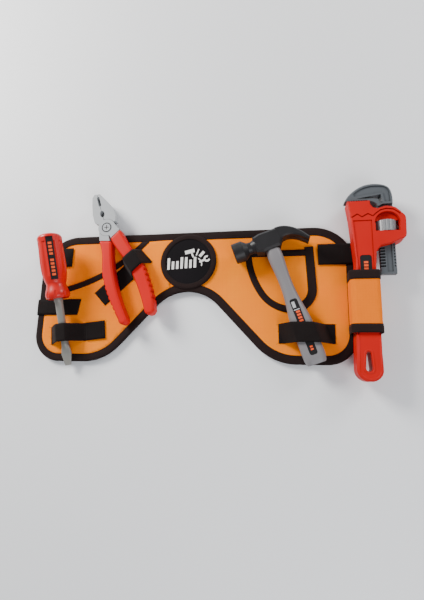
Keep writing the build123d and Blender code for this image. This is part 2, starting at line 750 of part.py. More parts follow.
LEFT_GRIP_OUTER = [(-112.6, 25.0), (-107.6, 12.0), (-104.2, -16.9), (-97.4, -39.3), (-87.9, -59.4), (-79.0, -74.6)]
LEFT_GRIP_INNER = [(-95.0, 24.2), (-93.6, 8.0), (-89.2, -17.0), (-82.0, -41.0), (-68.0, -72.6)]
RIGHT_GRIP_INNER = [
    (-97.0, 27.6),
    (-88.4, 14.6),
    (-77.9, 1.2),
    (-66.2, -17.0),
    (-57.4, -35.6),
    (-51.6, -50.6),
    (-47.4, -64.0),
]
RIGHT_GRIP_OUTER = [
    (-85.2, 40.0),
    (-76.6, 25.6),
    (-65.5, 10.0),
    (-52.0, -7.0),
    (-45.6, -22.0),
    (-39.9, -37.5),
    (-35.2, -60.0),
]

with BuildPart() as pliers_left_grip:
    add(grip(LEFT_GRIP_INNER, LEFT_GRIP_OUTER, LEFT_TANG, "outer").part)
keep(pliers_left_grip, "pliers_left_grip")

with BuildPart() as pliers_right_grip:
    add(grip(RIGHT_GRIP_INNER, RIGHT_GRIP_OUTER, RIGHT_TANG, "outer").part)
keep(pliers_right_grip, "pliers_right_grip")

with BuildPart() as pliers_loop:
    add(
        loop_solid(
            (-65.0, -2.4),
            PLIERS_SLIDE_ANGLE,
            11.8 + LOOP_GAP,
            PLIERS_Z + GRIP_T + LOOP_GAP,
            POCKET_Z,
            PLIERS_LOOP,
            LOOP_W,
            lean=PLIERS_LOOP_LEAN,
        ).part
    )
keep(pliers_loop, "pliers_loop")

# ---- Hammer ----
HM = tool_plane(HM_EYE, HM_ANGLE, HM_TILT, HM_AXIS_Z)
POLL = Plane(origin=HM.origin, x_dir=HM.x_dir, z_dir=HM.y_dir)

with BuildPart() as head_body:
    with BuildSketch(HM.offset(-HM_HEAD_T / 2)):
        with BuildLine():
            Polyline(
                (-8.6, -18),
                (9.4, -18),
                (12.0, -10),
                (11.0, 10),
                (4.5, 14.5),
                (-5.0, 18),
                (-10.4, 12),
                (-10.6, -10),
                close=True,
            )
        make_face()
    extrude(amount=HM_HEAD_T)
    flats = head_body.faces().sort_by(Axis(HM.origin, HM.z_dir))
    chamfer(ShapeList([*flats[0].edges(), *flats[-1].edges()]), HM_FACET)

with BuildPart() as claw:
    with BuildSketch(HM.offset(-HM_HEAD_T / 2 - 0.5)):
        with BuildLine():
            top = Spline((-10.4, 10), (-7.2, 24), (3.0, 36), (14.0, 43.4))
            tip = Line(top @ 1, (16.8, 41.2))
            under = Spline(tip @ 1, (8.6, 33.0), (3.6, 24), (5.0, 12))
            Line(under @ 1, top @ 0)
        make_face()
    extrude(amount=HM_HEAD_T + 1)
    outer_faces = claw.faces().sort_by(Axis(HM.origin, HM.z_dir))
    chamfer(ShapeList([*outer_faces[0].edges(), *outer_faces[-1].edges()]), HM_FACET * 0.6)

with BuildPart() as hammer_head:
    with BuildSketch(HM):
        with BuildLine():
            Polyline(
                (0, -HM_FACE_L),
                (HM_POLL_R - 1, -HM_FACE_L),
                (HM_POLL_R, -HM_FACE_L + 1),
                (HM_POLL_R, -31.5),
                (HM_POLL_R - 1, -30.5),
                (7.4, -26),
                (7.0, -22),
                (9.0, -16),
                (0, -16),
                close=True,
            )
        make_face()
    revolve(axis=Axis(HM.origin, HM.y_dir))
    add(head_body.part)
    add(claw.part)
    claw_top = Plane(origin=HM.origin, x_dir=HM.y_dir, z_dir=-HM.x_dir)
    with BuildSketch(claw_top.offset(-30)):
        with BuildLine():
            Polyline((HM_SPLIT_S, 0), (50, HM_SPLIT), (50, -HM_SPLIT), close=True)
        make_face()
    extrude(amount=60, mode=Mode.SUBTRACT)
    with BuildSketch(Plane(HM.origin, x_dir=HM.y_dir, z_dir=HM.x_dir)):
        RectangleRounded(10 + 2 * FIT_GAP, 10 + 2 * FIT_GAP, 2)
    extrude(amount=14, mode=Mode.SUBTRACT)
keep(hammer_head, "hammer_head")

GRIP_STATIONS = [
    (12.1, HM_NECK_W, HM_HANDLE_T - 1.0),
    (32.0, HM_NECK_W + 0.2, HM_HANDLE_T - 1.0),
    (52.0, HM_WAIST_W, HM_HANDLE_T - 1.6),
    (70.0, HM_WAIST_W + 1.8, HM_HANDLE_T - 0.8),
    (86.0, HM_GRIP_W - 4.0, HM_HANDLE_T),
    (104.0, HM_GRIP_W, HM_HANDLE_T),
    (124.0, HM_GRIP_W, HM_HANDLE_T),
    (143.0, HM_GRIP_W - 0.8, HM_HANDLE_T - 0.2),
    (HM_HANDLE_L, HM_GRIP_W - 4.6, HM_HANDLE_T - 4.0),
]
ACROSS = Plane(HM.origin, x_dir=HM.y_dir, z_dir=HM.x_dir)

with BuildPart() as hammer_handle:
    for station, width, thickness in GRIP_STATIONS:
        with BuildSketch(ACROSS.offset(station)):
            RectangleRounded(width, thickness, thickness / 2 - 1.2)
    loft()
    with BuildSketch(ACROSS):
        RectangleRounded(10, 10, 2)
    extrude(amount=13)
    label_z = HM_HANDLE_T / 2 - HM_LABEL_T
    with BuildSketch(HM.offset(label_z)):
        with Locations((HM_LABEL_S[0], 0)):
            RectangleRounded(HM_LABEL_S[1] - HM_LABEL_S[0], HM_LABEL_W, 2.6, align=(Align.MIN, Align.CENTER))
    extrude(amount=10, mode=Mode.SUBTRACT)
keep(hammer_handle, "hammer_handle")

with BuildPart() as hammer_label:
    with BuildSketch(HM.offset(label_z)):
        with Locations(((HM_LABEL_S[0] + HM_LABEL_S[1]) / 2, 0)):
            label_l = HM_LABEL_S[1] - HM_LABEL_S[0] - 2 * FIT_GAP
            RectangleRounded(label_l, HM_LABEL_W - 2 * FIT_GAP, 2.6 - FIT_GAP)
    extrude(amount=HM_LABEL_T - 0.3)
keep(hammer_label, "hammer_label")

with BuildPart() as hammer_loop:
    hm_at_loop = HM.origin + HM.x_dir * ((HM_EYE[1] - HAMMER_LOOP[1]) / cos(radians(HM_ANGLE)))
    hm_top = hm_at_loop.Z + HM_HANDLE_T / 2 + LOOP_GAP + LOOP_W / 2 * tan(radians(HM_TILT))
    add(
        loop_solid(
            (hm_at_loop.X, hm_at_loop.Y),
            HM_ANGLE,
            HM_GRIP_W / 2 + LOOP_GAP + 0.4,
            hm_top,
            FACE_Z,
            HAMMER_LOOP,
            LOOP_W,
            lean=HAMMER_LOOP_LEAN,
        ).part
    )
keep(hammer_loop, "hammer_loop")

# ---- Pipe wrench ----
WR_OUTLINE = [
    (-14.6, WR_JAW_Y),
    (9.4, WR_JAW_Y),
    (9.8, 53.4),
    (12.6, 49.4),
    (17.8, 48.2),
    (25.8, 51.0),
    (36.0, 49.0),
    (46.0, 38.0),
    (45.0, 14.0),
    (28.2, 7.1),
    (18.0, 4.8),
    (13.2, -2.0),
    (11.7, -23.0),
    (11.7, -91.0),
    (13.3, WR_END_Y),
    (-13.8, WR_END_Y),
    (-11.9, -91.0),
    (-8.2, -11.0),
    (-12.2, 41.0),
]
WR_ROUND = {2: 4.0, 4: 3.0, 5: 8.0, 6: 9.0, 7: 8.0, 8: 5.0, 10: 6.0, 14: 12.6, 15: 12.6}
PANEL = ((-9.4, 34.6), (10.2, 34.6), (9.9, -30.0), (-5.8, -30.0))
RELIEF = 0.8
ZIGZAG_Y = 39.0
ZIGZAG = (
    (-12.0, 0.6),
    (-10.5, -0.8),
    (-4.9, 3.0),
    (0.1, -0.6),
    (6.4, 3.0),
    (11.4, 0.0),
    (15.8, 3.8),
    (19.5, 6.6),
    (25.8, 8.2),
    (33.3, 7.0),
    (40.0, 1.6),
)


def wrench_face(inset=0.0):
    """The wrench body's outline, set in by the given distance."""
    points = [(WR_X + u, v) for u, v in WR_OUTLINE]
    with BuildSketch() as face:
        with BuildLine():
            Polyline(*points, close=True)
        make_face()
        for index, radius in WR_ROUND.items():
            corner = face.vertices().sort_by_distance((points[index][0], points[index][1], 0))[0]
            fillet(corner, radius)
        if inset:
            offset(amount=-inset, kind=Kind.INTERSECTION)
    return face.sketch


with BuildPart() as wrench_body:
    with BuildSketch(Plane.XY.offset(WR_Z)):
        add(wrench_face())
    extrude(amount=WR_T)
    chamfer(wrench_body.edges().filter_by(Plane.XY), 1.0)
    # raised rim: the panel and the field below the zigzag are sunk
    with BuildSketch(Plane.XY.offset(WR_TOP - RELIEF)):
        with Locations((WR_X, 0)):
            Polygon(*PANEL, align=None)
    extrude(amount=RELIEF * 2, mode=Mode.SUBTRACT)
    # domed hollow over the thumb wheel
    with BuildSketch(Plane.XY.offset(WR_TOP - DOME_DEEP)):
        with Locations((SHANK_X, DOME_Y)):
            Circle(DOME_R)
            Rectangle(FAR, FAR, align=(Align.CENTER, Align.MAX), mode=Mode.SUBTRACT)
    extrude(amount=2 * DOME_DEEP, mode=Mode.SUBTRACT)
    with BuildSketch(Plane.XY.offset(WR_TOP - RELIEF)):
        with BuildLine():
            zig = [(WR_X + u, ZIGZAG_Y + v) for u, v in ZIGZAG]
            Polyline(*zig)
        trace(line_width=1.2)
    extrude(amount=RELIEF * 2, mode=Mode.SUBTRACT)
    # window for the thumb wheel, right through
    with BuildSketch(Plane.XY.offset(WR_Z)):
        with Locations((SHANK_X, WHEEL_Y)):
            Rectangle(2 * (WHEEL_R + WHEEL_SIDE_GAP), WHEEL_L + 2 * SLIDE_GAP)
    extrude(amount=WR_T, mode=Mode.SUBTRACT)
    # channel for the hook jaw's shank
    with Locations((SHANK_X, 30, WR_MID)):
        Box(SHANK_W + 2 * SLIDE_GAP, 120, SHANK_T + 2 * SLIDE_GAP, mode=Mode.SUBTRACT)
    # hanging slot
    with BuildSketch(Plane.XY.offset(WR_Z)):
        with Locations(SLOT_LOW):
            Circle(SLOT_LOW_R)
        with Locations(SLOT_HIGH):
            Circle(SLOT_HIGH_R)
        make_hull()
    extrude(amount=WR_T, mode=Mode.SUBTRACT)
    # label recess on the handle
    with BuildSketch(Plane.XY.offset(WR_TOP - RELIEF - WR_LABEL_T)):
        with Locations((WR_X + WR_LABEL_X, WR_LABEL_Y)):
            RectangleRounded(WR_LABEL_W, WR_LABEL_L, WR_LABEL_R, align=(Align.CENTER, Align.MAX))
    extrude(amount=4, mode=Mode.SUBTRACT)
    # small teeth across the heel jaw
    with BuildSketch(Plane.XY.offset(WR_Z)):
        with Locations((WR_X - 3.0, WR_JAW_Y)):
            with GridLocations(2.6, 0, 8, 1):
                RegularPolygon(0.9, 4, rotation=0)
    extrude(amount=WR_T, mode=Mode.SUBTRACT)
keep(wrench_body, "wrench_body")

with BuildPart() as wrench_label:
    with BuildSketch(Plane.XY.offset(WR_TOP - RELIEF - WR_LABEL_T)):
        with Locations((WR_X + WR_LABEL_X, WR_LABEL_Y - FIT_GAP)):
            label_l = WR_LABEL_L - 2 * FIT_GAP
            RectangleRounded(WR_LABEL_W - 2 * FIT_GAP, label_l, WR_LABEL_R, align=(Align.CENTER, Align.MAX))
    extrude(amount=WR_LABEL_T - 0.3)
keep(wrench_label, "wrench_label")

HOOK_Y = WR_JAW_Y + JAW_GAP
SHANK_LEFT = SHANK_X - SHANK_W / 2
SHANK_RIGHT = SHANK_X + SHANK_W / 2
RECESS_W = 6.0
RECESS_L = 34.0
RECESS_IN = 2.5
OPENING = (
    (WR_X - 4.3, HOOK_Y + 2.6),
    (WR_X + 22.1, HOOK_Y + 6.8),
    (WR_X + 23.9, HOOK_Y - 3.0),
    (WR_X + 20.9, HOOK_Y - 4.2),
    (WR_X + 19.1, HOOK_Y + 1.2),
    (WR_X + 13.7, HOOK_Y + 2.2),
)

with BuildSketch() as hook_outline:
    with BuildLine():
        outer = Spline(
            (SHANK_RIGHT, HOOK_Y - 4.6),
            (SHANK_RIGHT - 0.4, HOOK_Y + 8.0),
            (WR_X + 31.2, HOOK_Y + 15.0),
            (WR_X + 19.8, HOOK_Y + 20.0),
            (WR_X + 2.8, HOOK_Y + 18.2),
            (WR_X - 7.4, HOOK_Y + 12.0),
            (WR_X - 14.0, HOOK_Y + 5.0),
            (WR_X - 16.9, HOOK_Y),
        )
        Polyline(
            outer @ 1,
            (WR_X + 9.5, HOOK_Y),
            (WR_X + 14.3, HOOK_Y - 1.8),
            (WR_X + 17.5, HOOK_Y - 4.6),
            (WR_X + 19.1, HOOK_Y - 7.4),
            (WR_X + 23.3, HOOK_Y - 4.8),
            outer @ 0,
        )
    make_face()

with BuildPart() as hook_jaw:
    with BuildSketch(Plane.XY.offset(WR_MID - HOOK_T / 2)):
        add(hook_outline.sketch)
    extrude(amount=HOOK_T)
    chamfer(hook_jaw.edges().filter_by(Plane.XY).sort_by(SortBy.LENGTH)[-2:], 1.2)
    # sunk face inside a raised rim
    with BuildSketch(Plane.XY.offset(WR_MID + HOOK_T / 2 - HOOK_RELIEF)):
        with BuildLine():
            crest = Spline(
                (SHANK_RIGHT - HOOK_RIM - 0.4, HOOK_Y + 6.0),
                (WR_X + 27.4, HOOK_Y + 15.4),
                (WR_X + 18.6, HOOK_Y + 17.4),
                (WR_X + 3.6, HOOK_Y + 15.4),
                (WR_X - 7.2, HOOK_Y + 8.2),
            )
            Polyline(
                crest @ 1,
                (WR_X - 6.2, HOOK_Y + 5.4),
                (WR_X + 24.4, HOOK_Y + 9.2),
                (WR_X + 26.2, HOOK_Y - 2.2),
                (SHANK_RIGHT - HOOK_RIM, HOOK_Y - 2.2),
                crest @ 0,
            )
        make_face()
    extrude(amount=HOOK_T, mode=Mode.SUBTRACT)
    with BuildSketch(Plane.XY.offset(WR_MID - SHANK_T / 2)):
        with Locations((SHANK_X, SHANK_END_Y)):
            Rectangle(SHANK_W, HOOK_Y - SHANK_END_Y, align=(Align.CENTER, Align.MIN))
    extrude(amount=SHANK_T)
    # the jaws' opening, closed below by the narrow toothed bar
    with BuildSketch(Plane.XY.offset(WR_MID - HOOK_T)):
        Polygon(*OPENING, align=None)
    extrude(amount=2 * HOOK_T, mode=Mode.SUBTRACT)
    # rack teeth sunk in the shank's face, wide ones by its inner edge and fine ones by the outer
    with BuildSketch(Plane.XY.offset(WR_MID - SHANK_T / 2 + RACK_FLOOR)):
        with Locations((SHANK_LEFT, SHANK_END_Y + RACK_START)):
            with GridLocations(0, RACK_PITCH, 1, RACK_TEETH):
                Rectangle(2 * RACK_DEEP, RACK_PITCH * 0.5)
        with Locations((SHANK_RIGHT - RACK_FINE, SHANK_END_Y + RACK_START)):
            with GridLocations(0, RACK_PITCH, 1, RACK_TEETH):
                Rectangle(RACK_FINE, RACK_FINE)
    extrude(amount=SHANK_T, mode=Mode.SUBTRACT)
    # long recess down the shank's face
    with BuildSketch(Plane.XY.offset(WR_MID + SHANK_T / 2 - HOOK_RELIEF)):
        with Locations((SHANK_X + 1.4, SHANK_END_Y + RECESS_IN)):
            Rectangle(RECESS_W, RECESS_L, align=(Align.CENTER, Align.MIN))
    extrude(amount=3, mode=Mode.SUBTRACT)
    # small teeth under the hook
    with BuildSketch(Plane.XY.offset(WR_MID - HOOK_T)):
        with Locations((WR_X - 3.0, HOOK_Y)):
            with GridLocations(2.6, 0, 8, 1):
                RegularPolygon(0.9, 4, rotation=0)
    extrude(amount=2 * HOOK_T, mode=Mode.SUBTRACT)
keep(hook_jaw, "hook_jaw")

with BuildPart() as thumb_wheel:
    wheel_plane = Plane(origin=(SHANK_X, WHEEL_Y - WHEEL_L / 2, WR_MID), x_dir=(1, 0, 0), z_dir=(0, 1, 0))
    with BuildSketch(wheel_plane):
        Circle(WHEEL_R)
        Circle(WHEEL_BORE_R, mode=Mode.SUBTRACT)
        with PolarLocations(WHEEL_R + 0.4, WHEEL_RIDGES):
            Circle(WHEEL_RIDGE_R, mode=Mode.SUBTRACT)
    extrude(amount=WHEEL_L)
keep(thumb_wheel, "thumb_wheel")

# ---- Wrench sleeve: a cloth tube sewn to the belt's right end ----
WR_LEFT = WR_X + WR_OUTLINE[15][0]
WR_RIGHT = WR_X + WR_OUTLINE[14][0]
SLEEVE_W = WR_RIGHT - WR_LEFT + 2 * SLEEVE_GAP
SLEEVE_X = (WR_LEFT + WR_RIGHT) / 2
SLEEVE_H = WR_T + 2 * SLEEVE_GAP


def sleeve_ring(inner_grow, wall, y_low, y_high):
    """A rounded tube round the wrench handle, between two places along Y."""
    with BuildPart() as ring:
        with BuildSketch(Plane.XZ.offset(-y_low)):
            with Locations((SLEEVE_X, WR_MID)):
                outer = inner_grow + wall
                radius = SLEEVE_CORNER_R + outer
                RectangleRounded(SLEEVE_W + 2 * outer, SLEEVE_H + 2 * outer, radius)
                radius = SLEEVE_CORNER_R + inner_grow
                hollow = (SLEEVE_W + 2 * inner_grow, SLEEVE_H + 2 * inner_grow)
                RectangleRounded(*hollow, radius, mode=Mode.SUBTRACT)
        extrude(amount=-(y_high - y_low))
    return ring


with BuildPart() as wrench_sleeve:
    add(sleeve_ring(0.0, SLEEVE_T, *SLEEVE_Y).part)
    hem_low = SLEEVE_Y[0] + SLEEVE_TRIM_W + FIT_GAP
    hem_high = SLEEVE_Y[1] - SLEEVE_TRIM_W - FIT_GAP
    with BuildSketch(Plane.XY.offset(EDGE_Z)):
        with Locations((HALF, (hem_low + hem_high) / 2)):
            Rectangle(4.0, hem_high - hem_low, align=(Align.MAX, Align.CENTER))
    extrude(amount=TRIM_T + SLEEVE_T / 2)
keep(wrench_sleeve, "wrench_sleeve")

with BuildPart() as sleeve_top_binding:
    add(sleeve_ring(SLEEVE_T, TRIM_T, SLEEVE_Y[1] - SLEEVE_TRIM_W, SLEEVE_Y[1]).part)
keep(sleeve_top_binding, "sleeve_top_binding")

with BuildPart() as sleeve_bottom_binding:
    add(sleeve_ring(SLEEVE_T, TRIM_T, SLEEVE_Y[0], SLEEVE_Y[0] + SLEEVE_TRIM_W).part)
keep(sleeve_bottom_binding, "sleeve_bottom_binding")
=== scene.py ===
"""Toy tool belt with its four tools: camera, light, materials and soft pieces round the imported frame."""

import math
import random
from bisect import bisect_right
from math import cos, pi, radians, sin, tan

import bmesh
import bpy
from mathutils import Matrix, Vector, geometry, kdtree, noise


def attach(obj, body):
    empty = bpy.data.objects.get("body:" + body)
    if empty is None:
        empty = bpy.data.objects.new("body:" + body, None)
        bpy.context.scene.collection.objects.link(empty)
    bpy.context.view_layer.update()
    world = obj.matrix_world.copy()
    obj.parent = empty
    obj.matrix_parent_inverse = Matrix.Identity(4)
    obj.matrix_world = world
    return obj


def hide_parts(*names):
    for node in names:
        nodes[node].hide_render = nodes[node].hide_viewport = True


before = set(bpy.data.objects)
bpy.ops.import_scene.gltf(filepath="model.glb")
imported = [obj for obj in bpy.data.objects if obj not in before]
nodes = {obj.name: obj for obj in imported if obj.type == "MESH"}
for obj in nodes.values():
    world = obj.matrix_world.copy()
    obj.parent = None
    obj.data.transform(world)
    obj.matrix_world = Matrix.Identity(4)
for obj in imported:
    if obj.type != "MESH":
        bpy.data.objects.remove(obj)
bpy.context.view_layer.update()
MM = 0.001

# ---- camera
CAM_AT = Vector((0.1094, -0.1441, 0.4497))
CAM_RIGHT = Vector((0.985, 0.024, -0.169))
CAM_BACK = Vector((0.170, -0.206, 0.963))

cam_data = bpy.data.cameras.new("camera")
cam = bpy.data.objects.new("camera", cam_data)
bpy.context.scene.collection.objects.link(cam)
cam_data.lens = 23.4
cam_data.sensor_width = 36.0
cam_data.clip_start = 0.01
back = CAM_BACK.normalized()
right = (CAM_RIGHT - CAM_RIGHT.dot(back) * back).normalized()
up = back.cross(right)
turn = Matrix((right, up, back)).transposed().to_4x4()
cam.matrix_world = Matrix.Translation(CAM_AT) @ turn
bpy.context.scene.camera = cam

# ---- light and floor
FLOOR_Z = -3.2 * MM


def area_light(name, at, target, size, watts, tint):
    """A square soft light at a place, aimed at a target."""
    data = bpy.data.lights.new(name, "AREA")
    data.shape = "SQUARE"
    data.size = size
    data.energy = watts
    data.color = tint
    light = bpy.data.objects.new(name, data)
    light.location = at
    light.rotation_euler = (Vector(target) - Vector(at)).to_track_quat("-Z", "Y").to_euler()
    bpy.context.scene.collection.objects.link(light)


area_light("key", (-0.95, 0.75, 0.72), (0.0, -0.03, 0.0), 0.5, 34.0, (1.0, 0.98, 0.95))
area_light("fill", (0.65, -1.0, 0.85), (0.05, -0.03, 0.0), 0.8, 13.0, (0.95, 0.97, 1.0))
area_light("rim", (0.95, 0.75, 0.55), (0.05, 0.0, 0.0), 0.4, 8.0, (1.0, 1.0, 1.0))

world = bpy.data.worlds.new("studio")
bpy.context.scene.world = world
world.use_nodes = True
world.node_tree.nodes["Background"].inputs[0].default_value = (0.93, 0.95, 1.0, 1.0)
world.node_tree.nodes["Background"].inputs[1].default_value = 0.40

# ---- materials


def rgb(red, green, blue):
    """A linear colour from 0-255 display values."""
    return tuple((c / 255) ** 2.2 for c in (red, green, blue)) + (1.0,)


class Nodes:
    """A small helper for building a material's node tree."""

    def __init__(self, name):
        self.mat = bpy.data.materials.new(name)
        self.mat.use_nodes = True
        self.tree = self.mat.node_tree
        self.shader = self.tree.nodes["Principled BSDF"]

    def add(self, kind, **values):
        node = self.tree.nodes.new(kind)
        for key, value in values.items():
            if key.startswith("_"):
                node.inputs[key[1:].replace("_", " ")].default_value = value
            else:
                setattr(node, key, value)
        return node

    def link(self, source, target):
        self.tree.links.new(source, target)

    def place(self, space, scale=(1, 1, 1), turn=0.0):
        """Texture coordinates: object space in metres, or the UV map of ribbons."""
        coords = self.add("ShaderNodeTexCoord")
        mapping = self.add("ShaderNodeMapping")
        mapping.inputs["Scale"].default_value = scale
        mapping.inputs["Rotation"].default_value = (0, 0, turn)
        self.link(coords.outputs[space], mapping.inputs["Vector"])
        return mapping.outputs[0]

    def noise(self, where, scale, detail=3.0):
        tex = self.add("ShaderNodeTexNoise", _Scale=scale, _Detail=detail)
        self.link(where, tex.inputs["Vector"])
        return tex.outputs["Fac"]

    def bands(self, where, pitch, along):
        """Smooth stripes, pitch apart in metres."""
        tex = self.add("ShaderNodeTexWave", wave_type="BANDS", bands_direction=along, _Scale=pi / 10 / pitch)
        self.link(where, tex.inputs["Vector"])
        return tex.outputs["Fac"]

    def math(self, op, a, b):
        node = self.add("ShaderNodeMath", operation=op)
        for socket, value in zip(node.inputs, (a, b)):
            if isinstance(value, (int, float)):
                socket.default_value = value
            else:
                self.link(value, socket)
        return node.outputs[0]

    def spread(self, fac, low, high):
        node = self.add("ShaderNodeMapRange")
        node.inputs["To Min"].default_value = low
        node.inputs["To Max"].default_value = high
        self.link(fac, node.inputs["Value"])
        return node.outputs[0]

    def mix(self, fac, a, b):
        node = self.add("ShaderNodeMix", data_type="RGBA")
        self.link(fac, node.inputs[0])
        for socket, value in ((node.inputs[6], a), (node.inputs[7], b)):
            if isinstance(value, tuple):
                socket.default_value = value
            else:
                self.link(value, socket)
        return node.outputs[2]

    def bump(self, height, distance, strength=1.0, under=None):
        node = self.add("ShaderNodeBump", _Distance=distance, _Strength=strength)
        self.link(height, node.inputs["Height"])
        if under is not None:
            self.link(under, node.inputs["Normal"])
        return node.outputs[0]

    def paint_crevice_shade(self, base, reach, low, high):
        """Painted shade: darkens a colour in grooves and narrow gaps, where ambient occlusion finds them."""
        near = self.add("ShaderNodeAmbientOcclusion", samples=8, only_local=True, _Distance=reach)
        shade = self.add("ShaderNodeMapRange")
        for key, value in (("From Min", low), ("From Max", high), ("To Min", 0.0), ("To Max", 1.0)):
            shade.inputs[key].default_value = value
        self.link(near.outputs["AO"], shade.inputs["Value"])
        # painted shade: multiplies a dark colour in wherever the occlusion is low
        painted_shade = self.add("ShaderNodeMix", data_type="RGBA", blend_type="MULTIPLY")
        painted_shade.inputs[0].default_value = 1.0
        self.link(base, painted_shade.inputs[6])
        self.link(self.mix(shade.outputs[0], (0.10, 0.08, 0.08, 1.0), (1.0, 1.0, 1.0, 1.0)), painted_shade.inputs[7])
        return painted_shade.outputs[2]

    def out(self, **sockets):
        for key, value in sockets.items():
            socket = self.shader.inputs[key.replace("_", " ")]
            if isinstance(value, bpy.types.NodeSocket):
                self.link(value, socket)
            else:
                socket.default_value = value
        return self.mat


def woven(name, colour, dark, pitch, ripstop=0.0, sheen=0.0, rough=0.85, turn=0.0):
    """Plain-woven cloth: two thread directions, slight colour change and, if asked, a ripstop grid."""
    n = Nodes(name)
    at = n.place("Object", turn=turn)
    warp = n.bands(at, pitch, "X")
    weft = n.bands(at, pitch, "Y")
    both_up = n.math("MULTIPLY", warp, weft)
    both_down = n.math("MULTIPLY", n.math("SUBTRACT", 1.0, warp), n.math("SUBTRACT", 1.0, weft))
    weave = n.math("ADD", both_up, both_down)
    patch = n.noise(at, 24.0)
    base = n.mix(n.spread(patch, 0.0, 1.0), dark, colour)
    base = n.mix(n.spread(weave, 0.75, 1.0), dark, base)
    normal = n.bump(weave, 0.00012, 0.6)
    if ripstop:
        grid_x = n.math("GREATER_THAN", n.bands(at, ripstop, "X"), 0.975)
        grid_y = n.math("GREATER_THAN", n.bands(at, ripstop, "Y"), 0.975)
        grid = n.math("MAXIMUM", grid_x, grid_y)
        base = n.mix(n.spread(grid, 0.0, 0.35), base, dark)
        normal = n.bump(grid, 0.0001, 0.5, normal)
    soft = n.noise(at, 60.0, 4.0)
    normal = n.bump(soft, 0.0012, 0.35, normal)
    return n.out(
        Base_Color=base, Roughness=n.spread(patch, rough - 0.07, rough + 0.07),
        Sheen_Weight=sheen, Sheen_Roughness=0.5, Specular_IOR_Level=0.06, Normal=normal,
    )


def ribbed(name, colour, dark, pitch, cross=0.0):
    """Tape or webbing: ribs across its width, finer threads along it, a little lint."""
    n = Nodes(name)
    at = n.place("UV")
    ribs = n.bands(at, pitch, "X")
    threads = n.bands(at, cross or pitch * 0.8, "Y")
    body = n.math("ADD", n.math("MULTIPLY", ribs, 0.65), n.math("MULTIPLY", threads, 0.35))
    wear = n.noise(at, 90.0, 4.0)
    base = n.mix(n.spread(wear, 0.0, 1.0), dark, colour)
    base = n.mix(n.spread(body, 0.0, 0.5), dark, base)
    normal = n.bump(body, 0.00018, 0.8)
    return n.out(
        Base_Color=base, Roughness=n.spread(wear, 0.78, 0.95), Sheen_Weight=0.03, Sheen_Roughness=0.45,
        Specular_IOR_Level=0.2, Normal=normal,
    )


def moulded(name, colour, rough, grain=0.00004, coat=0.0, metallic=0.0, gloss=0.3):
    """Injection-moulded plastic: fine grain, faint flow marks, small scuffs, and painted shade that darkens
    its grooves and narrow gaps.
    """
    n = Nodes(name)
    at = n.place("Object")
    flow = n.noise(at, 18.0, 2.0)
    scuff = n.noise(n.place("Object", scale=(1.0, 0.25, 1.0), turn=0.4), 260.0, 5.0)
    grainy = n.noise(at, 900.0, 2.0)
    deep = tuple(c * 0.84 for c in colour[:3]) + (1.0,)
    pale = tuple(min(1.0, c * 1.08 + 0.006) for c in colour[:3]) + (1.0,)
    # painted shade: the colour is darkened where ambient occlusion finds grooves and narrow gaps
    base = n.paint_crevice_shade(n.mix(n.spread(flow, 0.0, 1.0), deep, pale), 0.004, 0.30, 0.72)
    rub = n.spread(scuff, rough - 0.08, rough + 0.1)
    normal = n.bump(grainy, grain, 0.7)
    normal = n.bump(flow, 0.0008, 0.25, normal)
    return n.out(
        Base_Color=base, Roughness=rub, Coat_Weight=coat, Coat_Roughness=0.15, Metallic=metallic,
        Specular_IOR_Level=gloss, Normal=normal,
    )


mat = {
    "orange": woven("orange_cloth", rgb(255, 146, 0), rgb(252, 122, 0), 0.00055, ripstop=0.005),
    "orange_sleeve": woven("orange_sleeve_cloth", rgb(244, 126, 0), rgb(230, 108, 0), 0.0005, ripstop=0.003),
    "lining": woven("lining_cloth", rgb(38, 34, 34), rgb(24, 21, 22), 0.0007, sheen=0.08, rough=0.9),
    "binding": ribbed("binding_tape", rgb(52, 34, 31), rgb(30, 19, 18), 0.0008),
    "webbing": ribbed("webbing", rgb(33, 22, 20), rgb(19, 12, 12), 0.0013, 0.0009),
    "thread": ribbed("thread", rgb(38, 30, 29), rgb(26, 20, 20), 0.0005),
    "badge": woven("badge_twill", rgb(32, 29, 32), rgb(18, 17, 18), 0.0006, sheen=0.06, turn=0.785),
    "tape": woven("fastener_tape", rgb(30, 29, 30), rgb(12, 12, 12), 0.0011, sheen=0.5, rough=0.95),
    "print": moulded("white_print", rgb(232, 231, 226), 0.6),
    "red": moulded("red_plastic", rgb(202, 14, 0), 0.48, gloss=0.14),
    "red_wrench": moulded("wrench_red_plastic", rgb(186, 18, 4), 0.48, gloss=0.16),
    "red_clear": moulded("handle_plastic", rgb(196, 18, 6), 0.36, coat=0.12, gloss=0.3),
    "pliers": moulded("pliers_grey_plastic", rgb(160, 163, 165), 0.42),
    "grey": moulded("hammer_grey_plastic", rgb(118, 115, 117), 0.40),
    "shaft": moulded("shaft_grey_plastic", rgb(140, 138, 132), 0.33, metallic=0.35),
    "hook": moulded("dark_grey_plastic", rgb(80, 84, 88), 0.42),
    "wheel": moulded("wheel_grey_plastic", rgb(132, 133, 135), 0.36, metallic=0.15),
    "head": moulded("black_plastic", rgb(30, 29, 31), 0.44, grain=0.00006),
    "label": moulded("label_black", rgb(30, 28, 29), 0.35),
    "label_orange": moulded("label_orange", rgb(238, 84, 34), 0.4),
    "label_silver": moulded("label_silver", rgb(178, 178, 180), 0.35),
}

# ---- building helpers (millimetres)


def dress(obj, material, body="belt", replaces=()):
    """Links a new piece, gives it its material and colour slot, and lets it ride on its body."""
    bpy.context.scene.collection.objects.link(obj)
    obj.data.materials.append(mat[material])
    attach(obj, body)
    if replaces:
        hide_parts(*replaces)
    return obj


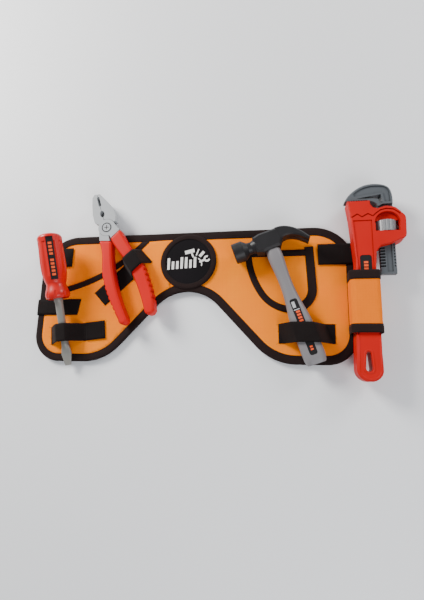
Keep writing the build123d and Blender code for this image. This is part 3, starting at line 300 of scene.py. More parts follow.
def mesh_object(name, verts, faces, uvs=None):
    """A smooth-shaded mesh from millimetre points; uvs, one per vertex, are millimetres along and across."""
    mesh = bpy.data.meshes.new(name)
    mesh.from_pydata([Vector(v) * MM for v in verts], [], faces)
    if uvs:
        layer = mesh.uv_layers.new(name="UVMap")
        for loop in mesh.loops:
            u, v = uvs[loop.vertex_index]
            layer.data[loop.index].uv = (u * MM, v * MM)
    mesh.validate()
    bm = bmesh.new()
    bm.from_mesh(mesh)
    bmesh.ops.recalc_face_normals(bm, faces=bm.faces)
    bm.to_mesh(mesh)
    bm.free()
    mesh.polygons.foreach_set("use_smooth", [True] * len(mesh.polygons))
    mesh.update()
    return bpy.data.objects.new(name, mesh)


def wave(x, y):
    """The lie of the cloth: long soft swells and shorter puckers, in millimetres."""
    swell = noise.noise(Vector((x / 46, y / 38, 1.7)))
    pucker = noise.noise(Vector((x / 13, y / 15, 6.2)))
    return 0.42 * swell + 0.12 * pucker


def rounded(points, radii, step=2.2):
    """A closed outline with its corners rounded."""
    out = []
    count = len(points)
    for i, radius in enumerate(radii):
        p, a, b = Vector(points[i]), Vector(points[i - 1]), Vector(points[(i + 1) % count])
        if not radius:
            out.append(p)
            continue
        u, v = (a - p).normalized(), (b - p).normalized()
        half = u.angle(v) / 2
        centre = p + (u + v).normalized() * (radius / sin(half))
        start = p + u * (radius / tan(half)) - centre
        end = p + v * (radius / tan(half)) - centre
        sign = 1 if start.x * end.y - start.y * end.x > 0 else -1
        angle = start.angle(end)
        pieces = max(4, int(angle * radius / step))
        for j in range(pieces + 1):
            t = sign * angle * j / pieces
            x = start.x * cos(t) - start.y * sin(t)
            y = start.x * sin(t) + start.y * cos(t)
            out.append(centre + Vector((x, y)))
    return out


def resample(points, step, closed=True):
    """Even steps along a polyline."""
    ring = list(points) + ([points[0]] if closed else [])
    lengths = [(b - a).length for a, b in zip(ring, ring[1:])]
    total = sum(lengths)
    count = max(2, round(total / step))
    out, i, done = [], 0, 0.0
    for k in range(count + (0 if closed else 1)):
        want = total * k / count
        while i < len(lengths) - 1 and done + lengths[i] < want:
            done += lengths[i]
            i += 1
        share = (want - done) / lengths[i] if lengths[i] else 0
        out.append(ring[i].lerp(ring[i + 1], min(1.0, share)))
    return out


def normals_of(path, closed):
    """Unit normals to the left of each point of a path."""
    out = []
    count = len(path)
    for i in range(count):
        a = path[i - 1] if closed or i else path[0]
        b = path[(i + 1) % count] if closed or i < count - 1 else path[-1]
        t = (b - a).normalized()
        out.append(Vector((-t.y, t.x)))
    return out


def inset(path, distance, closed=True):
    """The path moved to its left."""
    return [p + n * distance for p, n in zip(path, normals_of(path, closed))]


def inside(x, y, ring):
    """Whether a point is in a closed outline."""
    found = False
    j = len(ring) - 1
    for i in range(len(ring)):
        a, b = ring[i], ring[j]
        if (a.y > y) != (b.y > y) and x < (b.x - a.x) * (y - a.y) / (b.y - a.y) + a.x:
            found = not found
        j = i
    return found


def sheet_mesh(name, ring, level, thickness, spacing, dimple=0.5, reach=4.0, extra=None):
    """A soft sheet inside an outline: a fine triangle mesh whose top sinks towards its sewn edge."""
    ring = resample(ring, spacing)
    edge = kdtree.KDTree(len(ring))
    for i, p in enumerate(ring):
        edge.insert((p.x, p.y, 0), i)
    edge.balance()
    xs, ys = [p.x for p in ring], [p.y for p in ring]
    points = list(ring)
    row = 0
    y = min(ys)
    while y < max(ys):
        x = min(xs) + (row % 2) * spacing / 2
        while x < max(xs):
            if edge.find((x, y, 0))[2] > spacing * 0.62 and inside(x, y, ring):
                points.append(Vector((x, y)))
            x += spacing
        y += spacing * 0.866
        row += 1
    rim = len(ring)
    edges = [(i, (i + 1) % rim) for i in range(rim)]
    made = geometry.delaunay_2d_cdt(points, edges, [], 0, 1e-5)
    flat, tris = made[0], made[2]
    keep = []
    for tri in tris:
        cx = sum(flat[i].x for i in tri) / 3
        cy = sum(flat[i].y for i in tri) / 3
        if inside(cx, cy, ring):
            keep.append(tuple(tri))
    top = []
    for p in flat:
        d = edge.find((p.x, p.y, 0))[2]
        z = level + wave(p.x, p.y) - dimple * math.exp(-d / reach)
        if extra:
            z += extra(p.x, p.y, d)
        top.append((p.x, p.y, z))
    low = [(x, y, z - thickness) for x, y, z in top]
    count = len(top)
    faces = list(keep) + [tuple(i + count for i in reversed(t)) for t in keep]
    sides = {}
    for t in keep:
        for a, b in ((t[0], t[1]), (t[1], t[2]), (t[2], t[0])):
            sides[(a, b)] = True
    for a, b in sides:
        if (b, a) not in sides:
            faces.append((b, a, a + count, b + count))
    return mesh_object(name, top + low, faces)


def sweep(name, path, profile, closed, lift=wave, widen=None):
    """A closed profile of (across, up) points carried along a path; across is to the path's left."""
    verts, uvs, faces = [], [], []
    sides = normals_of(path, closed)
    along = 0.0
    width = len(profile)
    for i, (p, n) in enumerate(zip(path, sides)):
        if i:
            along += (p - path[i - 1]).length
        girth = 0.0
        for k, (across, z) in enumerate(profile):
            if k:
                girth += math.hypot(across - profile[k - 1][0], z - profile[k - 1][1])
            if widen and across > 0:
                across *= widen(p)
            q = p + n * across
            verts.append((q.x, q.y, z + lift(q.x, q.y)))
            uvs.append((along, girth))
    count = len(path)
    for i in range(count if closed else count - 1):
        j = (i + 1) % count
        for k in range(width):
            m = (k + 1) % width
            faces.append((i * width + k, i * width + m, j * width + m, j * width + k))
    if not closed:
        faces.append(tuple(range(width)))
        faces.append(tuple(reversed(range((count - 1) * width, count * width))))
    return mesh_object(name, verts, faces, uvs)


def strip(name, place, length, width, thickness, nu, nv, skew=(0.0, 0.0)):
    """A strip of webbing. place(u, v) gives a point of its middle surface; u runs along it and v across."""
    def at(u, v):
        return Vector(place(u, v))

    rows = []
    for j in range(nv + 1):
        v = (j / nv - 0.5) * width
        lo, hi = skew[0] * v, length + skew[1] * v
        rows.append([(lo + (hi - lo) * i / nu, v) for i in range(nu + 1)])
    top, low, uvs = [], [], []
    for j, row in enumerate(rows):
        slim = 0.55 if j in (0, nv) else 1.0
        for i, (u, v) in enumerate(row):
            step = 0.4
            across = at(u, v + step) - at(u, v - step)
            normal = (at(u + step, v) - at(u - step, v)).cross(across).normalized()
            thin = slim * (0.6 if i in (0, nu) else 1.0)
            top.append(at(u, v) + normal * thickness / 2 * thin)
            low.append(at(u, v) - normal * thickness / 2 * thin)
            uvs.append((u, v))
    size = nu + 1
    count = len(top)
    faces = []
    for j in range(nv):
        for i in range(nu):
            a = j * size + i
            quad = (a, a + 1, a + 1 + size, a + size)
            faces.append(quad)
            faces.append(tuple(k + count for k in reversed(quad)))
    for i in range(nu):
        for base in (0, nv * size):
            a, b = base + i, base + i + 1
            faces.append((a, a + count, b + count, b))
    for j in range(nv):
        for base in (0, nu):
            a, b = j * size + base, (j + 1) * size + base
            faces.append((a, a + count, b + count, b))
    return mesh_object(name, top + low, faces, uvs + uvs)


stitch_verts, stitch_faces, stitch_uvs = [], [], []
STITCH_R = 0.2
STITCH_GAP = 0.9
# share of the stitch's length, thickness as a share of its radius, rise
STITCH_FORM = (
    (0.0, 0.35, -0.12), (0.25, 0.95, 0.06), (0.5, 1.0, 0.12), (0.75, 0.95, 0.06), (1.0, 0.35, -0.12),
)
STITCH_SIDES = 6


def stitch(a, b):
    """One stitch: a short bead of thread between two points, its ends sunk in the cloth."""
    a, b = Vector(a), Vector(b)
    run = b - a
    side = run.cross(Vector((0, 0, 1))).normalized()
    high = side.cross(run).normalized()
    if high.z < 0:
        high = -high
    start = len(stitch_verts)
    for share, size, rise in STITCH_FORM:
        for k in range(STITCH_SIDES):
            t = 2 * pi * k / STITCH_SIDES
            offset = side * cos(t) + high * sin(t)
            stitch_verts.append(a + run * share + offset * STITCH_R * size + high * rise)
            stitch_uvs.append((share * 2, k))
    rings = len(STITCH_FORM)
    for i in range(rings - 1):
        for k in range(STITCH_SIDES):
            m = (k + 1) % STITCH_SIDES
            low, high_ring = start + i * STITCH_SIDES, start + (i + 1) * STITCH_SIDES
            stitch_faces.append((low + k, low + m, high_ring + m, high_ring + k))
    last = start + (rings - 1) * STITCH_SIDES
    stitch_faces.append(tuple(start + k for k in range(STITCH_SIDES)))
    stitch_faces.append(tuple(last + k for k in reversed(range(STITCH_SIDES))))


def stitch_row(points, level, closed=False, pitch=2.9):
    """A row of stitches along a line, on a surface at a level."""
    path = resample([Vector(p) for p in points], pitch, closed)
    pairs = list(zip(path, path[1:] + ([path[0]] if closed else [])))
    for a, b in pairs:
        if (b - a).length < 1e-6:
            continue
        trim = (b - a).normalized() * STITCH_GAP / 2
        a, b = a + trim, b - trim
        stitch((a.x, a.y, level + wave(a.x, a.y)), (b.x, b.y, level + wave(b.x, b.y)))


thread_runs = []


def tuft(x, y, z, heading, length, seed):
    """A loose thread end that curls up out of a cut edge."""
    rng = random.Random(seed)
    a = radians(heading)
    points = [Vector((x, y, z))]
    for _ in range(4):
        a += rng.uniform(-0.5, 0.5)
        points.append(points[-1] + Vector((cos(a), sin(a), rng.uniform(-0.05, 0.35))) * length / 4)
    thread_runs.append(points)


# ---- belt outline and layers
# heights above the belt's underside: FACE is the outer panel's top, DECK that of a layer on it
LENGTH, HEIGHT, NECK = 390.0, 161.0, 76.0
HALF, TOP = LENGTH / 2, NECK / 2
BOTTOM = TOP - HEIGHT
SLOPE = radians(47.0)
UPPER_R, LOWER_R, LOBE_R, ARCH_R = 47.0, 34.0, 62.0, 50.0
APEX = TOP - NECK + ARCH_R * (1 / cos(SLOPE) - 1)
FOOT = (APEX - BOTTOM) / tan(SLOPE)
BINDING_W = 10.0
LINING_T, FACE, DECK = 0.8, 2.4, 3.2

belt_corners = [
    (-HALF, TOP), (-HALF, BOTTOM), (-FOOT, BOTTOM), (0, APEX), (FOOT, BOTTOM), (HALF, BOTTOM), (HALF, TOP),
]
belt_radii = [UPPER_R, LOWER_R, LOBE_R, ARCH_R, LOBE_R, LOWER_R, UPPER_R]
belt_ring = resample(rounded(belt_corners, belt_radii), 2.5)

lining_ring = inset(belt_ring, 1.0)
lining = sheet_mesh("lining_sheet", lining_ring, LINING_T, thickness=LINING_T, spacing=5.0, dimple=0.0)
dress(lining, "lining", replaces=["back_lining"])

panel_ring = inset(belt_ring, 2.0)
panel = sheet_mesh("orange_panel", panel_ring, FACE, thickness=1.5, spacing=3.0, dimple=0.3, reach=2.5)
dress(panel, "orange", replaces=["front_panel"])

EDGE_PROFILE = [
    (10.0, 2.35), (9.9, 3.0), (9.2, 3.12), (8.6, 2.98), (7.6, 3.2), (5.0, 3.34), (2.4, 3.3), (0.9, 2.95),
    (0.1, 2.1), (0.0, 1.2), (0.1, 0.3), (0.9, -0.5), (2.4, -0.75), (5.0, -0.8), (8.6, -0.7), (9.9, -0.65),
    (10.0, 0.0), (1.6, 0.1), (1.6, 2.3),
]
edge = sweep("edge_binding_tape", belt_ring, EDGE_PROFILE, True)
dress(edge, "binding", replaces=["edge_binding"])
stitch_row(inset(belt_ring, 8.6), 3.02, closed=True)

# ---- badge
BADGE_R = 35.0
DISC_R = BADGE_R - 1.2
DISC_TOP = 4.25
DISC_DIMPLE, DISC_REACH = 0.3, 4.0


def circle(radius):
    """A ring of points about the badge's centre, about 2 mm apart."""
    count = int(2 * pi * radius / 2.0)
    return [Vector((cos(2 * pi * k / count), sin(2 * pi * k / count))) * radius for k in range(count)]


def disc_crown(x, y, d):
    """The disc swells a little away from its sewn edge, d away."""
    return min(0.35, d * 0.02)


disc = sheet_mesh(
    "badge_cloth_disc", circle(DISC_R), DISC_TOP, thickness=1.0, spacing=2.2, dimple=DISC_DIMPLE,
    reach=DISC_REACH, extra=disc_crown,
)
dress(disc, "badge", replaces=["badge_disc"])
RING_PROFILE = [
    (6.6, 4.0), (6.5, 4.75), (5.8, 4.95), (3.2, 5.15), (1.2, 4.9), (0.2, 4.3), (0.0, 3.5), (0.3, 3.25),
    (1.6, 3.4), (1.6, 3.9),
]
ring = sweep("badge_ring_tape", circle(BADGE_R), RING_PROFILE, True)
dress(ring, "binding", replaces=["badge_ring"])
stitch_row(circle(BADGE_R - 5.9), 4.9, closed=True, pitch=2.4)


def badge_rise(x, y):
    """The height of the badge's cloth at a place."""
    d = DISC_R - math.hypot(x, y)
    return DISC_TOP + wave(x, y) - DISC_DIMPLE * math.exp(-d / DISC_REACH) + disc_crown(x, y, d)


def flat_print(name, polygons, material, rise):
    """Thin printed shapes that follow a surface."""
    verts, faces = [], []
    for poly in polygons:
        start = len(verts)
        corners = [Vector(p) for p in poly]
        for z in (0.12, -0.15):
            verts += [(p.x, p.y, rise(p.x, p.y) + z) for p in corners]
        count = len(corners)
        faces.append(tuple(range(start, start + count)))
        for i in range(count):
            j = (i + 1) % count
            faces.append((start + i, start + j, start + count + j, start + count + i))
    obj = mesh_object(name, verts, faces)
    obj.data.polygons.foreach_set("use_smooth", [False] * len(obj.data.polygons))
    return dress(obj, material)


def arc_band(radius, width, start, end, centre):
    """Small four-sided tiles, 6 degrees each, that make up an arc of a ring."""
    tiles = []
    count = max(1, int(abs(end - start) / 6.0))
    for i in range(count):
        a = radians(start + (end - start) * i / count)
        b = radians(start + (end - start) * (i + 1) / count)
        corners = ((radius, a), (radius, b), (radius - width, b), (radius - width, a))
        tiles.append([(centre[0] + r * cos(t), centre[1] + r * sin(t)) for r, t in corners])
    return tiles


def turned_box(x, y, length, width, angle):
    """A four-sided mark about a centre, its length at an angle to the belt."""
    t = radians(angle)
    run, side = Vector((cos(t), sin(t))) * length / 2, Vector((-sin(t), cos(t))) * width / 2
    centre = Vector((x, y))
    return [centre - run - side, centre + run - side, centre + run + side, centre - run + side]


# a generic motif: a row of plain blocks, and a hammer, two bars and a spanner fanned out over an arc
tiles = []
for k, tall in enumerate((14.6, 10.0, 10.0, 14.6, 14.2, 10.4, 13.4)):
    low, left = -10.2 + 0.3 * k, -26.0 + 5.5 * k
    right_side, lift = left + 3.1, low + 0.2
    tiles.append([(left, low), (right_side, lift), (right_side, lift + tall), (left, low + tall)])
tiles.append(turned_box(1.6, 12.4, 12.0, 4.6, 14))
tiles.append(turned_box(5.2, 7.6, 6.0, 2.0, -66))
tiles.append(turned_box(11.4, 11.2, 8.6, 1.5, 70))
tiles.append(turned_box(16.8, 8.8, 8.0, 3.4, 50))
tiles.append(turned_box(17.6, 0.2, 7.4, 2.4, 24))
tiles += arc_band(4.0, 2.2, 70, 350, centre=(23.2, 2.8))
tiles += arc_band(9.0, 1.3, -15, 62, centre=(8.6, -4.2))
flat_print("badge_print", tiles, "print", badge_rise)

# ---- left pocket
ARC_C, ARC_R = Vector((-203.2, 159.3)), 194.0
POCKET_TOP, POCKET_T = DECK + 0.12, 0.75
belt_inner = inset(belt_ring, 9.0)


def arc_point(theta, radius):
    """A point of an arc about the pocket mouth's centre, theta degrees from straight down."""
    t = radians(theta)
    return ARC_C + Vector((sin(t), -cos(t))) * radius


def arc_run(first, last, steps, radius):
    """Points of that arc between two angles."""
    return [arc_point(first + (last - first) * k / steps, radius) for k in range(steps + 1)]


def clip_ring(outline, passes):
    """The first run of an outline's points that pass a test."""
    flags = [passes(p) for p in outline]
    count = len(outline)
    i = next(i for i in range(count) if flags[i] and not flags[i - 1])
    out = []
    while flags[i % count] and len(out) < count:
        out.append(outline[i % count])
        i += 1
    return out


SEAM_X = -20.0
border = clip_ring(belt_inner, lambda p: (p - ARC_C).length > ARC_R and p.x < SEAM_X and p.y < 27.0)
ARC_START, ARC_END = 5.3, 47.2
mouth = arc_run(ARC_END, ARC_START, 60, ARC_R)
seam_top = Vector((SEAM_X, 28.8))
pocket_ring = border + [seam_top] + mouth
pocket = sheet_mesh(
    "left_pocket_cloth", pocket_ring, POCKET_TOP, thickness=POCKET_T, spacing=3.0, dimple=0.25, reach=2.0,
    extra=lambda x, y, d: 0.28 * min(1.0, d / 14.0),
)
dress(pocket, "orange", replaces=["left_pocket_panel"])

TAPE_PROFILE = [
    (7.0, 3.3), (6.9, 3.95), (6.2, 4.06), (3.4, 4.2), (1.2, 4.12), (-0.4, 3.8), (-0.8, 3.1), (-0.8, 2.5),
    (0.2, 2.5), (0.4, 3.3),
]
TAPE_SEAM = 6.0
TUCK_END = 50.6
TUCK_Y, TUCK_RUN = 26.6, 1.6


def tuck(x, y):
    """The tape's upper end dips under the waist binding."""
    share = min(1.0, max(0.0, (y - TUCK_Y) / TUCK_RUN))
    return wave(x, y) - 1.3 * share


tape_path = resample(arc_run(TUCK_END, ARC_START, 64, ARC_R), 1.5, False)
mouth_tape = sweep("left_pocket_tape", tape_path, TAPE_PROFILE, False, lift=tuck)
dress(mouth_tape, "binding", replaces=["left_pocket_binding"])
stitch_row(arc_run(ARC_END, ARC_START, 60, ARC_R + TAPE_SEAM)[1:-1], 4.05)


def pocket_lift(x, y):
    """How far the left pocket's cloth stands above its plain level at a place."""
    return wave(x, y) + 0.35


# ---- right pocket


def turned(start, heading, runs):
    """Points along a path of (radius, degrees left) turns and (0, length) straights, and its last heading."""
    out = [Vector(start)]
    a = heading
    for radius, amount in runs:
        if radius == 0:
            out.append(out[-1] + Vector((cos(a), sin(a))) * amount)
            continue
        centre = out[-1] + Vector((-sin(a), cos(a))) * radius
        steps = max(3, int(radians(amount) * radius / 2.0))
        for k in range(1, steps + 1):
            b = a + radians(amount) * k / steps
            out.append(centre + Vector((sin(b), -cos(b))) * radius)
        a += radians(amount)
    return out, a


POCKET_X, POCKET_Y = 70.5, 9.8
pocket_runs = [(95.0, 35.0), (44.6, 47.0), (0, 3.0), (26.5, 101.2)]
d_path, d_heading = turned((POCKET_X, POCKET_Y), radians(-90), pocket_runs)
d_side = Vector((cos(d_heading), sin(d_heading)))
d_side_top = d_path[-1] + d_side * ((POCKET_Y - d_path[-1].y) / sin(d_heading))
d_ring = d_path + [d_side_top]
right_pocket = sheet_mesh(
    "right_pocket_cloth", d_ring, POCKET_TOP, thickness=POCKET_T, spacing=3.0, dimple=0.25, reach=2.0,
    extra=lambda x, y, d: 0.5 * min(1.0, d / 16.0),
)
dress(right_pocket, "orange", replaces=["right_pocket_panel"])
side_path = resample(d_path + [d_side_top + d_side * 4.0], 3.0, False)
SIDE_WIDEN_X, SIDE_WIDEN_RUN = 118.0, 20.0


def side_width(p):
    """The side tape widens from the pocket's round foot up its straight side."""
    share = min(1.0, max(0.0, (p.x - SIDE_WIDEN_X) / SIDE_WIDEN_RUN))
    return 1.0 + 0.34 * share * share * (3 - 2 * share)


side_profile = [(a, z + 0.05) for a, z in TAPE_PROFILE]
side_tape = sweep("right_pocket_side_tape", side_path, side_profile, False, widen=side_width)
dress(side_tape, "binding", replaces=["right_pocket_side_binding"])
mouth_path = resample([Vector((d_side_top.x - 6.5, POCKET_Y)), Vector((74.0, POCKET_Y))], 3.0, False)
mouth_profile = [(a, z - 0.12) for a, z in TAPE_PROFILE]
mouth_tape = sweep("right_pocket_mouth_tape", mouth_path, mouth_profile, False)
dress(mouth_tape, "binding", replaces=["right_pocket_mouth_binding"])
stitch_row(inset(side_path, TAPE_SEAM, False), 4.1)
stitch_row([(mouth_path[0].x - 3, POCKET_Y - TAPE_SEAM), (80.0, POCKET_Y - TAPE_SEAM)], 3.95)

# ---- webbing round the belt's ends
WEB_T, WEB_W = 1.2, 25.0
UNDER = -0.8  # the height of the webbing's inner face behind the belt
LEFT_STRAP_Y, RIGHT_STRAP_Y = 10.0, 3.6
STRAP_INNER = 41.0  # from the belt's end to the sewn patch's inner end
STRAP_FOLD = 95.0  # from the belt's end to the diagonal fold
STRAP_DOWN = 94.0


def smooth_line(points, radius, step=0.8):
    """An open line in three dimensions with its inner corners rounded."""
    points = [Vector(p) for p in points]
    out = [points[0]]
    for a, p, b in zip(points, points[1:], points[2:]):
        u, v = (a - p), (b - p)
        cut = min(radius, u.length * 0.48, v.length * 0.48)
        start, end = p + u.normalized() * cut, p + v.normalized() * cut
        for k in range(7):
            t = k / 6
            out.append(start.lerp(p, t).lerp(p.lerp(end, t), t))
    out.append(points[-1])
    fine = [out[0]]
    for a, b in zip(out, out[1:]):
        pieces = max(1, int((b - a).length / step))
        fine += [a.lerp(b, k / pieces) for k in range(1, pieces + 1)]
    return fine


class Line:
    """A line that can be asked for a point at any distance along it."""

    def __init__(self, points):
        self.points = points
        self.marks = [0.0]
        for a, b in zip(points, points[1:]):
            self.marks.append(self.marks[-1] + (b - a).length)
        self.length = self.marks[-1]

    def at(self, s):
        i = min(max(bisect_right(self.marks, s) - 1, 0), len(self.points) - 2)
        a, b = self.points[i], self.points[i + 1]
        span = self.marks[i + 1] - self.marks[i]
        return a + (b - a) * ((s - self.marks[i]) / span)


def end_line(side, y, inner, base, tail):
    """The course of webbing sewn on the face, round the belt's end and back under it."""
    over = DECK + 0.25 + WEB_T / 2
    below = UNDER - WEB_T / 2
    step_x = HALF - BINDING_W - 1.0
    course = [
        (HALF - inner, base), (step_x - 3, base), (step_x, over),
        (HALF + 0.6, over), (HALF + 0.6, below), (HALF - tail, below),
    ]
    return Line(smooth_line([(side * x, y, z) for x, z in course], 1.4))


def web_on_line(line):
    """Places a strip on a line; on the face the strip follows the lie of the cloth."""
    def place(u, v):
        p = line.at(u)
        lift = wave(p.x, p.y + v) if p.z > FACE + 0.1 else 0.0
        return (p.x, p.y + v, p.z + lift)

    return place


def sewn_box(x0, x1, y0, y1, level):
    """A rectangle of stitches."""
    corners = [(x0, y0), (x1, y0), (x1, y1), (x0, y1)]
    for i, corner in enumerate(corners):
        stitch_row([corner, corners[(i + 1) % 4]], level, pitch=2.3)


def waist_strap(name, node, side, y):
    """A waist strap: sewn patch, run round the end and behind, diagonal fold, run down the lobe."""
    half_w = WEB_W / 2
    course = end_line(side, y, STRAP_INNER, DECK + WEB_T / 2, STRAP_FOLD - half_w)
    top = strip(name + "_upper", web_on_line(course), course.length, WEB_W, WEB_T, 130, 8, skew=(0.0, -side))
    dress(top, "webbing", replaces=[node])
    fold_x = side * (HALF - STRAP_FOLD + half_w)
    down_z = UNDER - 1.5 * WEB_T
    drop = Line(smooth_line([(fold_x, y, down_z), (fold_x, y - STRAP_DOWN - half_w, down_z)], 1.0, 4.0))

    def lower(u, v):
        return drop.at(u) + Vector((v, 0, 0))

    low = strip(name + "_lower", lower, drop.length, WEB_W, WEB_T, 60, 8, skew=(side, 0.0))
    dress(low, "webbing", replaces=[node])
    fold_z = UNDER - WEB_T
    fold_a = Vector((side * (HALF - STRAP_FOLD), y + half_w, fold_z))
    fold_b = Vector((side * (HALF - STRAP_FOLD + WEB_W), y - half_w, fold_z))
    fold = fold_roll(name + "_fold", fold_a, fold_b)
    dress(fold, "webbing", replaces=[node])
    x0, x1 = side * (HALF - STRAP_INNER + 2.5), side * (HALF - BINDING_W - 4)
    sewn_box(x0, x1, y - half_w + 2, y + half_w - 2, DECK + WEB_T + 0.02)


def fold_roll(name, a, b):
    """The rounded edge where webbing is folded on itself."""
    run = (b - a).normalized()
    out = Vector((-run.y, run.x, 0))
    if out.dot(Vector((-(a.x + b.x), 0, 0))) < 0:
        out = -out
    verts, faces, uvs = [], [], []
    steps, arc, radius = 18, 9, 1.15
    for i in range(steps + 1):
        p = a.lerp(b, i / steps)
        for k in range(arc):
            t = pi * k / (arc - 1) - pi / 2
            verts.append(tuple(p + out * (cos(t) * radius) + Vector((0, 0, sin(t) * radius))))
            uvs.append((k * 0.45, i * 1.9))
    for i in range(steps):
        for k in range(arc):
            m = (k + 1) % arc
            faces.append((i * arc + k, i * arc + m, (i + 1) * arc + m, (i + 1) * arc + k))
    faces.append(tuple(range(arc)))
    faces.append(tuple(reversed(range(steps * arc, steps * arc + arc))))
    return mesh_object(name, verts, faces, uvs)


waist_strap("waist_strap_left_web", "waist_strap_left", -1, LEFT_STRAP_Y)
waist_strap("waist_strap_right_web", "waist_strap_right", 1, RIGHT_STRAP_Y)
SIDE_Y, SIDE_INNER, SIDE_W = -55.6, 57.0, 20.0
side_course = end_line(-1, SIDE_Y, SIDE_INNER, DECK + 0.35 + WEB_T / 2, 24.0)
side_place = web_on_line(side_course)
side_web = strip("left_side_web", side_place, side_course.length, SIDE_W, WEB_T, 90, 6, skew=(-0.16, 0.0))
dress(side_web, "webbing", replaces=["left_side_strap"])
sewn_box(-HALF + SIDE_INNER - 3, -HALF + BINDING_W + 4, SIDE_Y - 7.8, SIDE_Y + 7.8, DECK + 0.4 + WEB_T)


def pile(name, node, side, y):
    """A patch of fastener tape: rows of short pile on the strap's end."""
    cx = side * (HALF - STRAP_FOLD + WEB_W / 2)
    y0 = y - WEB_W / 2 - STRAP_DOWN + 2
    verts, faces = [], []
    rng = random.Random(7 + side)
    cols, rows, pitch = 15, 34, 1.46
    for i in range(rows):
        for j in range(cols):
            x = cx + (j - (cols - 1) / 2) * pitch + rng.uniform(-0.15, 0.15)
            yy = y0 + 0.8 + i * pitch + rng.uniform(-0.15, 0.15)
            s = len(verts)
            for dx, dy in ((-0.5, -0.5), (0.5, -0.5), (0.5, 0.5), (-0.5, 0.5)):
                verts.append((x + dx, yy + dy, UNDER - 1.15))
            verts.append((x, yy, UNDER - 0.6))
            faces += [(s + k, s + (k + 1) % 4, s + 4) for k in range(4)]
            faces.append((s + 3, s + 2, s + 1, s))
    obj = mesh_object(name, verts, faces)
    dress(obj, "tape", replaces=[node])


pile("hook_tape_pile", "hook_patch", -1, LEFT_STRAP_Y)
pile("loop_tape_pile", "loop_patch", 1, RIGHT_STRAP_Y)

# ---- loops over the tools
LOOP_T, LOOP_W = 1.0, 22.0
LOOP_GAP = 0.8


def loop_height(q, half, top, foot, leans):
    """Height of a loop's middle surface at a distance q across the tool; its slopes are nearly straight."""
    lean = leans[1] if q > 0 else leans[0]
    t = min(1.0, max(0.0, (abs(q) - half) / lean))
    soft = t * t * (3 - 2 * t)
    return top + (foot - top) * (0.75 * t + 0.25 * soft)


def over_tool(name, node, point, angle, half, top, foot, footprint, leans, lift, crown=0.6):
    """A loop of webbing whose sewn feet lie on the cloth and which arches over a tool.

    The tool passes under it at a point and an angle, half as wide as the loop is level. footprint is the
    loop's centre, length and turn, top and foot its heights, and leans the width of its two slopes.
    """
    cx, cy, length, turn = footprint
    a, t = radians(angle), radians(turn)
    along, wide = Vector((cos(t), sin(t))), Vector((-sin(t), cos(t)))
    across = Vector((cos(a), sin(a)))

    def place(u, v):
        p = Vector((cx, cy)) + along * (u - length / 2) + wide * v
        q = (p - Vector(point)).dot(across)
        z = loop_height(q, half, top + LOOP_T / 2, foot + LOOP_T / 2, leans)
        share = min(1.0, max(0.0, (z - foot) / (top - foot)))
        z += lift(p.x, p.y) * (1 - share) + crown * max(0.0, 1 - (q / half) ** 2) * share
        return (p.x, p.y, z)

    nu = int(length / 0.8)
    obj = strip(name, place, length, LOOP_W, LOOP_T, nu, 10)
    dress(obj, "webbing", replaces=[node])
    return place


def tool_axes(turn, tilt):
    """A tool's way towards its far end, its upper side and its left, from its turn and tilt."""
    along = Vector((cos(tilt) * sin(turn), -cos(tilt) * cos(turn), -sin(tilt)))
    high = Vector((sin(tilt) * sin(turn), -sin(tilt) * cos(turn), cos(tilt)))
    return along, high, high.cross(along)


# screwdriver: the middle of its crown, and where its loop crosses it
SD_ANGLE, SD_TILT = 9.8, radians(10.0)
SD_DIR, SD_UP, SD_SIDE = tool_axes(radians(SD_ANGLE), SD_TILT)
SD_HANDLE_L, SD_HANDLE_R, SD_SHAFT_R = 80.2, 15.0, 4.8
SD_AT = Vector((-171.5, 29.7, DECK + 1.7 + SD_HANDLE_R + SD_HANDLE_L * tan(SD_TILT)))
SD_LOOP_L = 71.3
sd_loop = SD_AT + SD_DIR * 123.2
sd_place = over_tool(
    "screwdriver_web_loop", "screwdriver_loop", (sd_loop.x, sd_loop.y), SD_ANGLE, half=5.4,
    top=sd_loop.z + SD_SHAFT_R + LOOP_GAP + LOOP_W / 2 * tan(SD_TILT), foot=DECK,
    footprint=(-136.9, -88.2, SD_LOOP_L, 6.8), leans=(15.6, 17.0), lift=pocket_lift, crown=0.4,
)
DOUBLE_L = 24.0


def doubled(u, v):
    """The loop's right foot is folded on itself, one layer higher."""
    return Vector(sd_place(SD_LOOP_L - DOUBLE_L + u, v)) + Vector((0, 0, LOOP_T + 0.02))


double = strip("screwdriver_web_end", doubled, DOUBLE_L, LOOP_W, LOOP_T, 30, 8)
dress(double, "webbing")

# pliers
GRIP_LOW, GRIP_T = 5.8, 15.0
PL_LOOP_L = 79.9
pl_place = over_tool(
    "pliers_web_loop", "pliers_loop", (-65.7, -2.8), 35.6, half=7.6,
    top=GRIP_LOW + GRIP_T + LOOP_GAP, foot=DECK,
    footprint=(-82.4, -18.7, PL_LOOP_L, 43.6), leans=(6.4, 8.6), lift=pocket_lift,
)

# hammer: the middle of its eye, and where its loop crosses it
HM_ANGLE, HM_TILT = 19.7, radians(1.5)
HM_DIR, HM_UP, HM_SIDE = tool_axes(radians(HM_ANGLE), HM_TILT)
HM_HALF_T = 8.0
HM_AT = Vector((98.8, 17.3, 16.5))
HM_LOOP_L, HM_LOOP_Y = 62.0, -88.8
hm_loop = HM_AT + HM_DIR * ((HM_AT.y - HM_LOOP_Y) / cos(radians(HM_ANGLE)))
hm_place = over_tool(
    "hammer_web_loop", "hammer_loop", (hm_loop.x, hm_loop.y), HM_ANGLE, half=10.6,
    top=hm_loop.z + HM_HALF_T + LOOP_GAP + LOOP_W / 2 * tan(HM_TILT), foot=FACE,
    footprint=(139.2, HM_LOOP_Y, HM_LOOP_L, 0.0), leans=(15.0, 15.0), lift=wave,
)


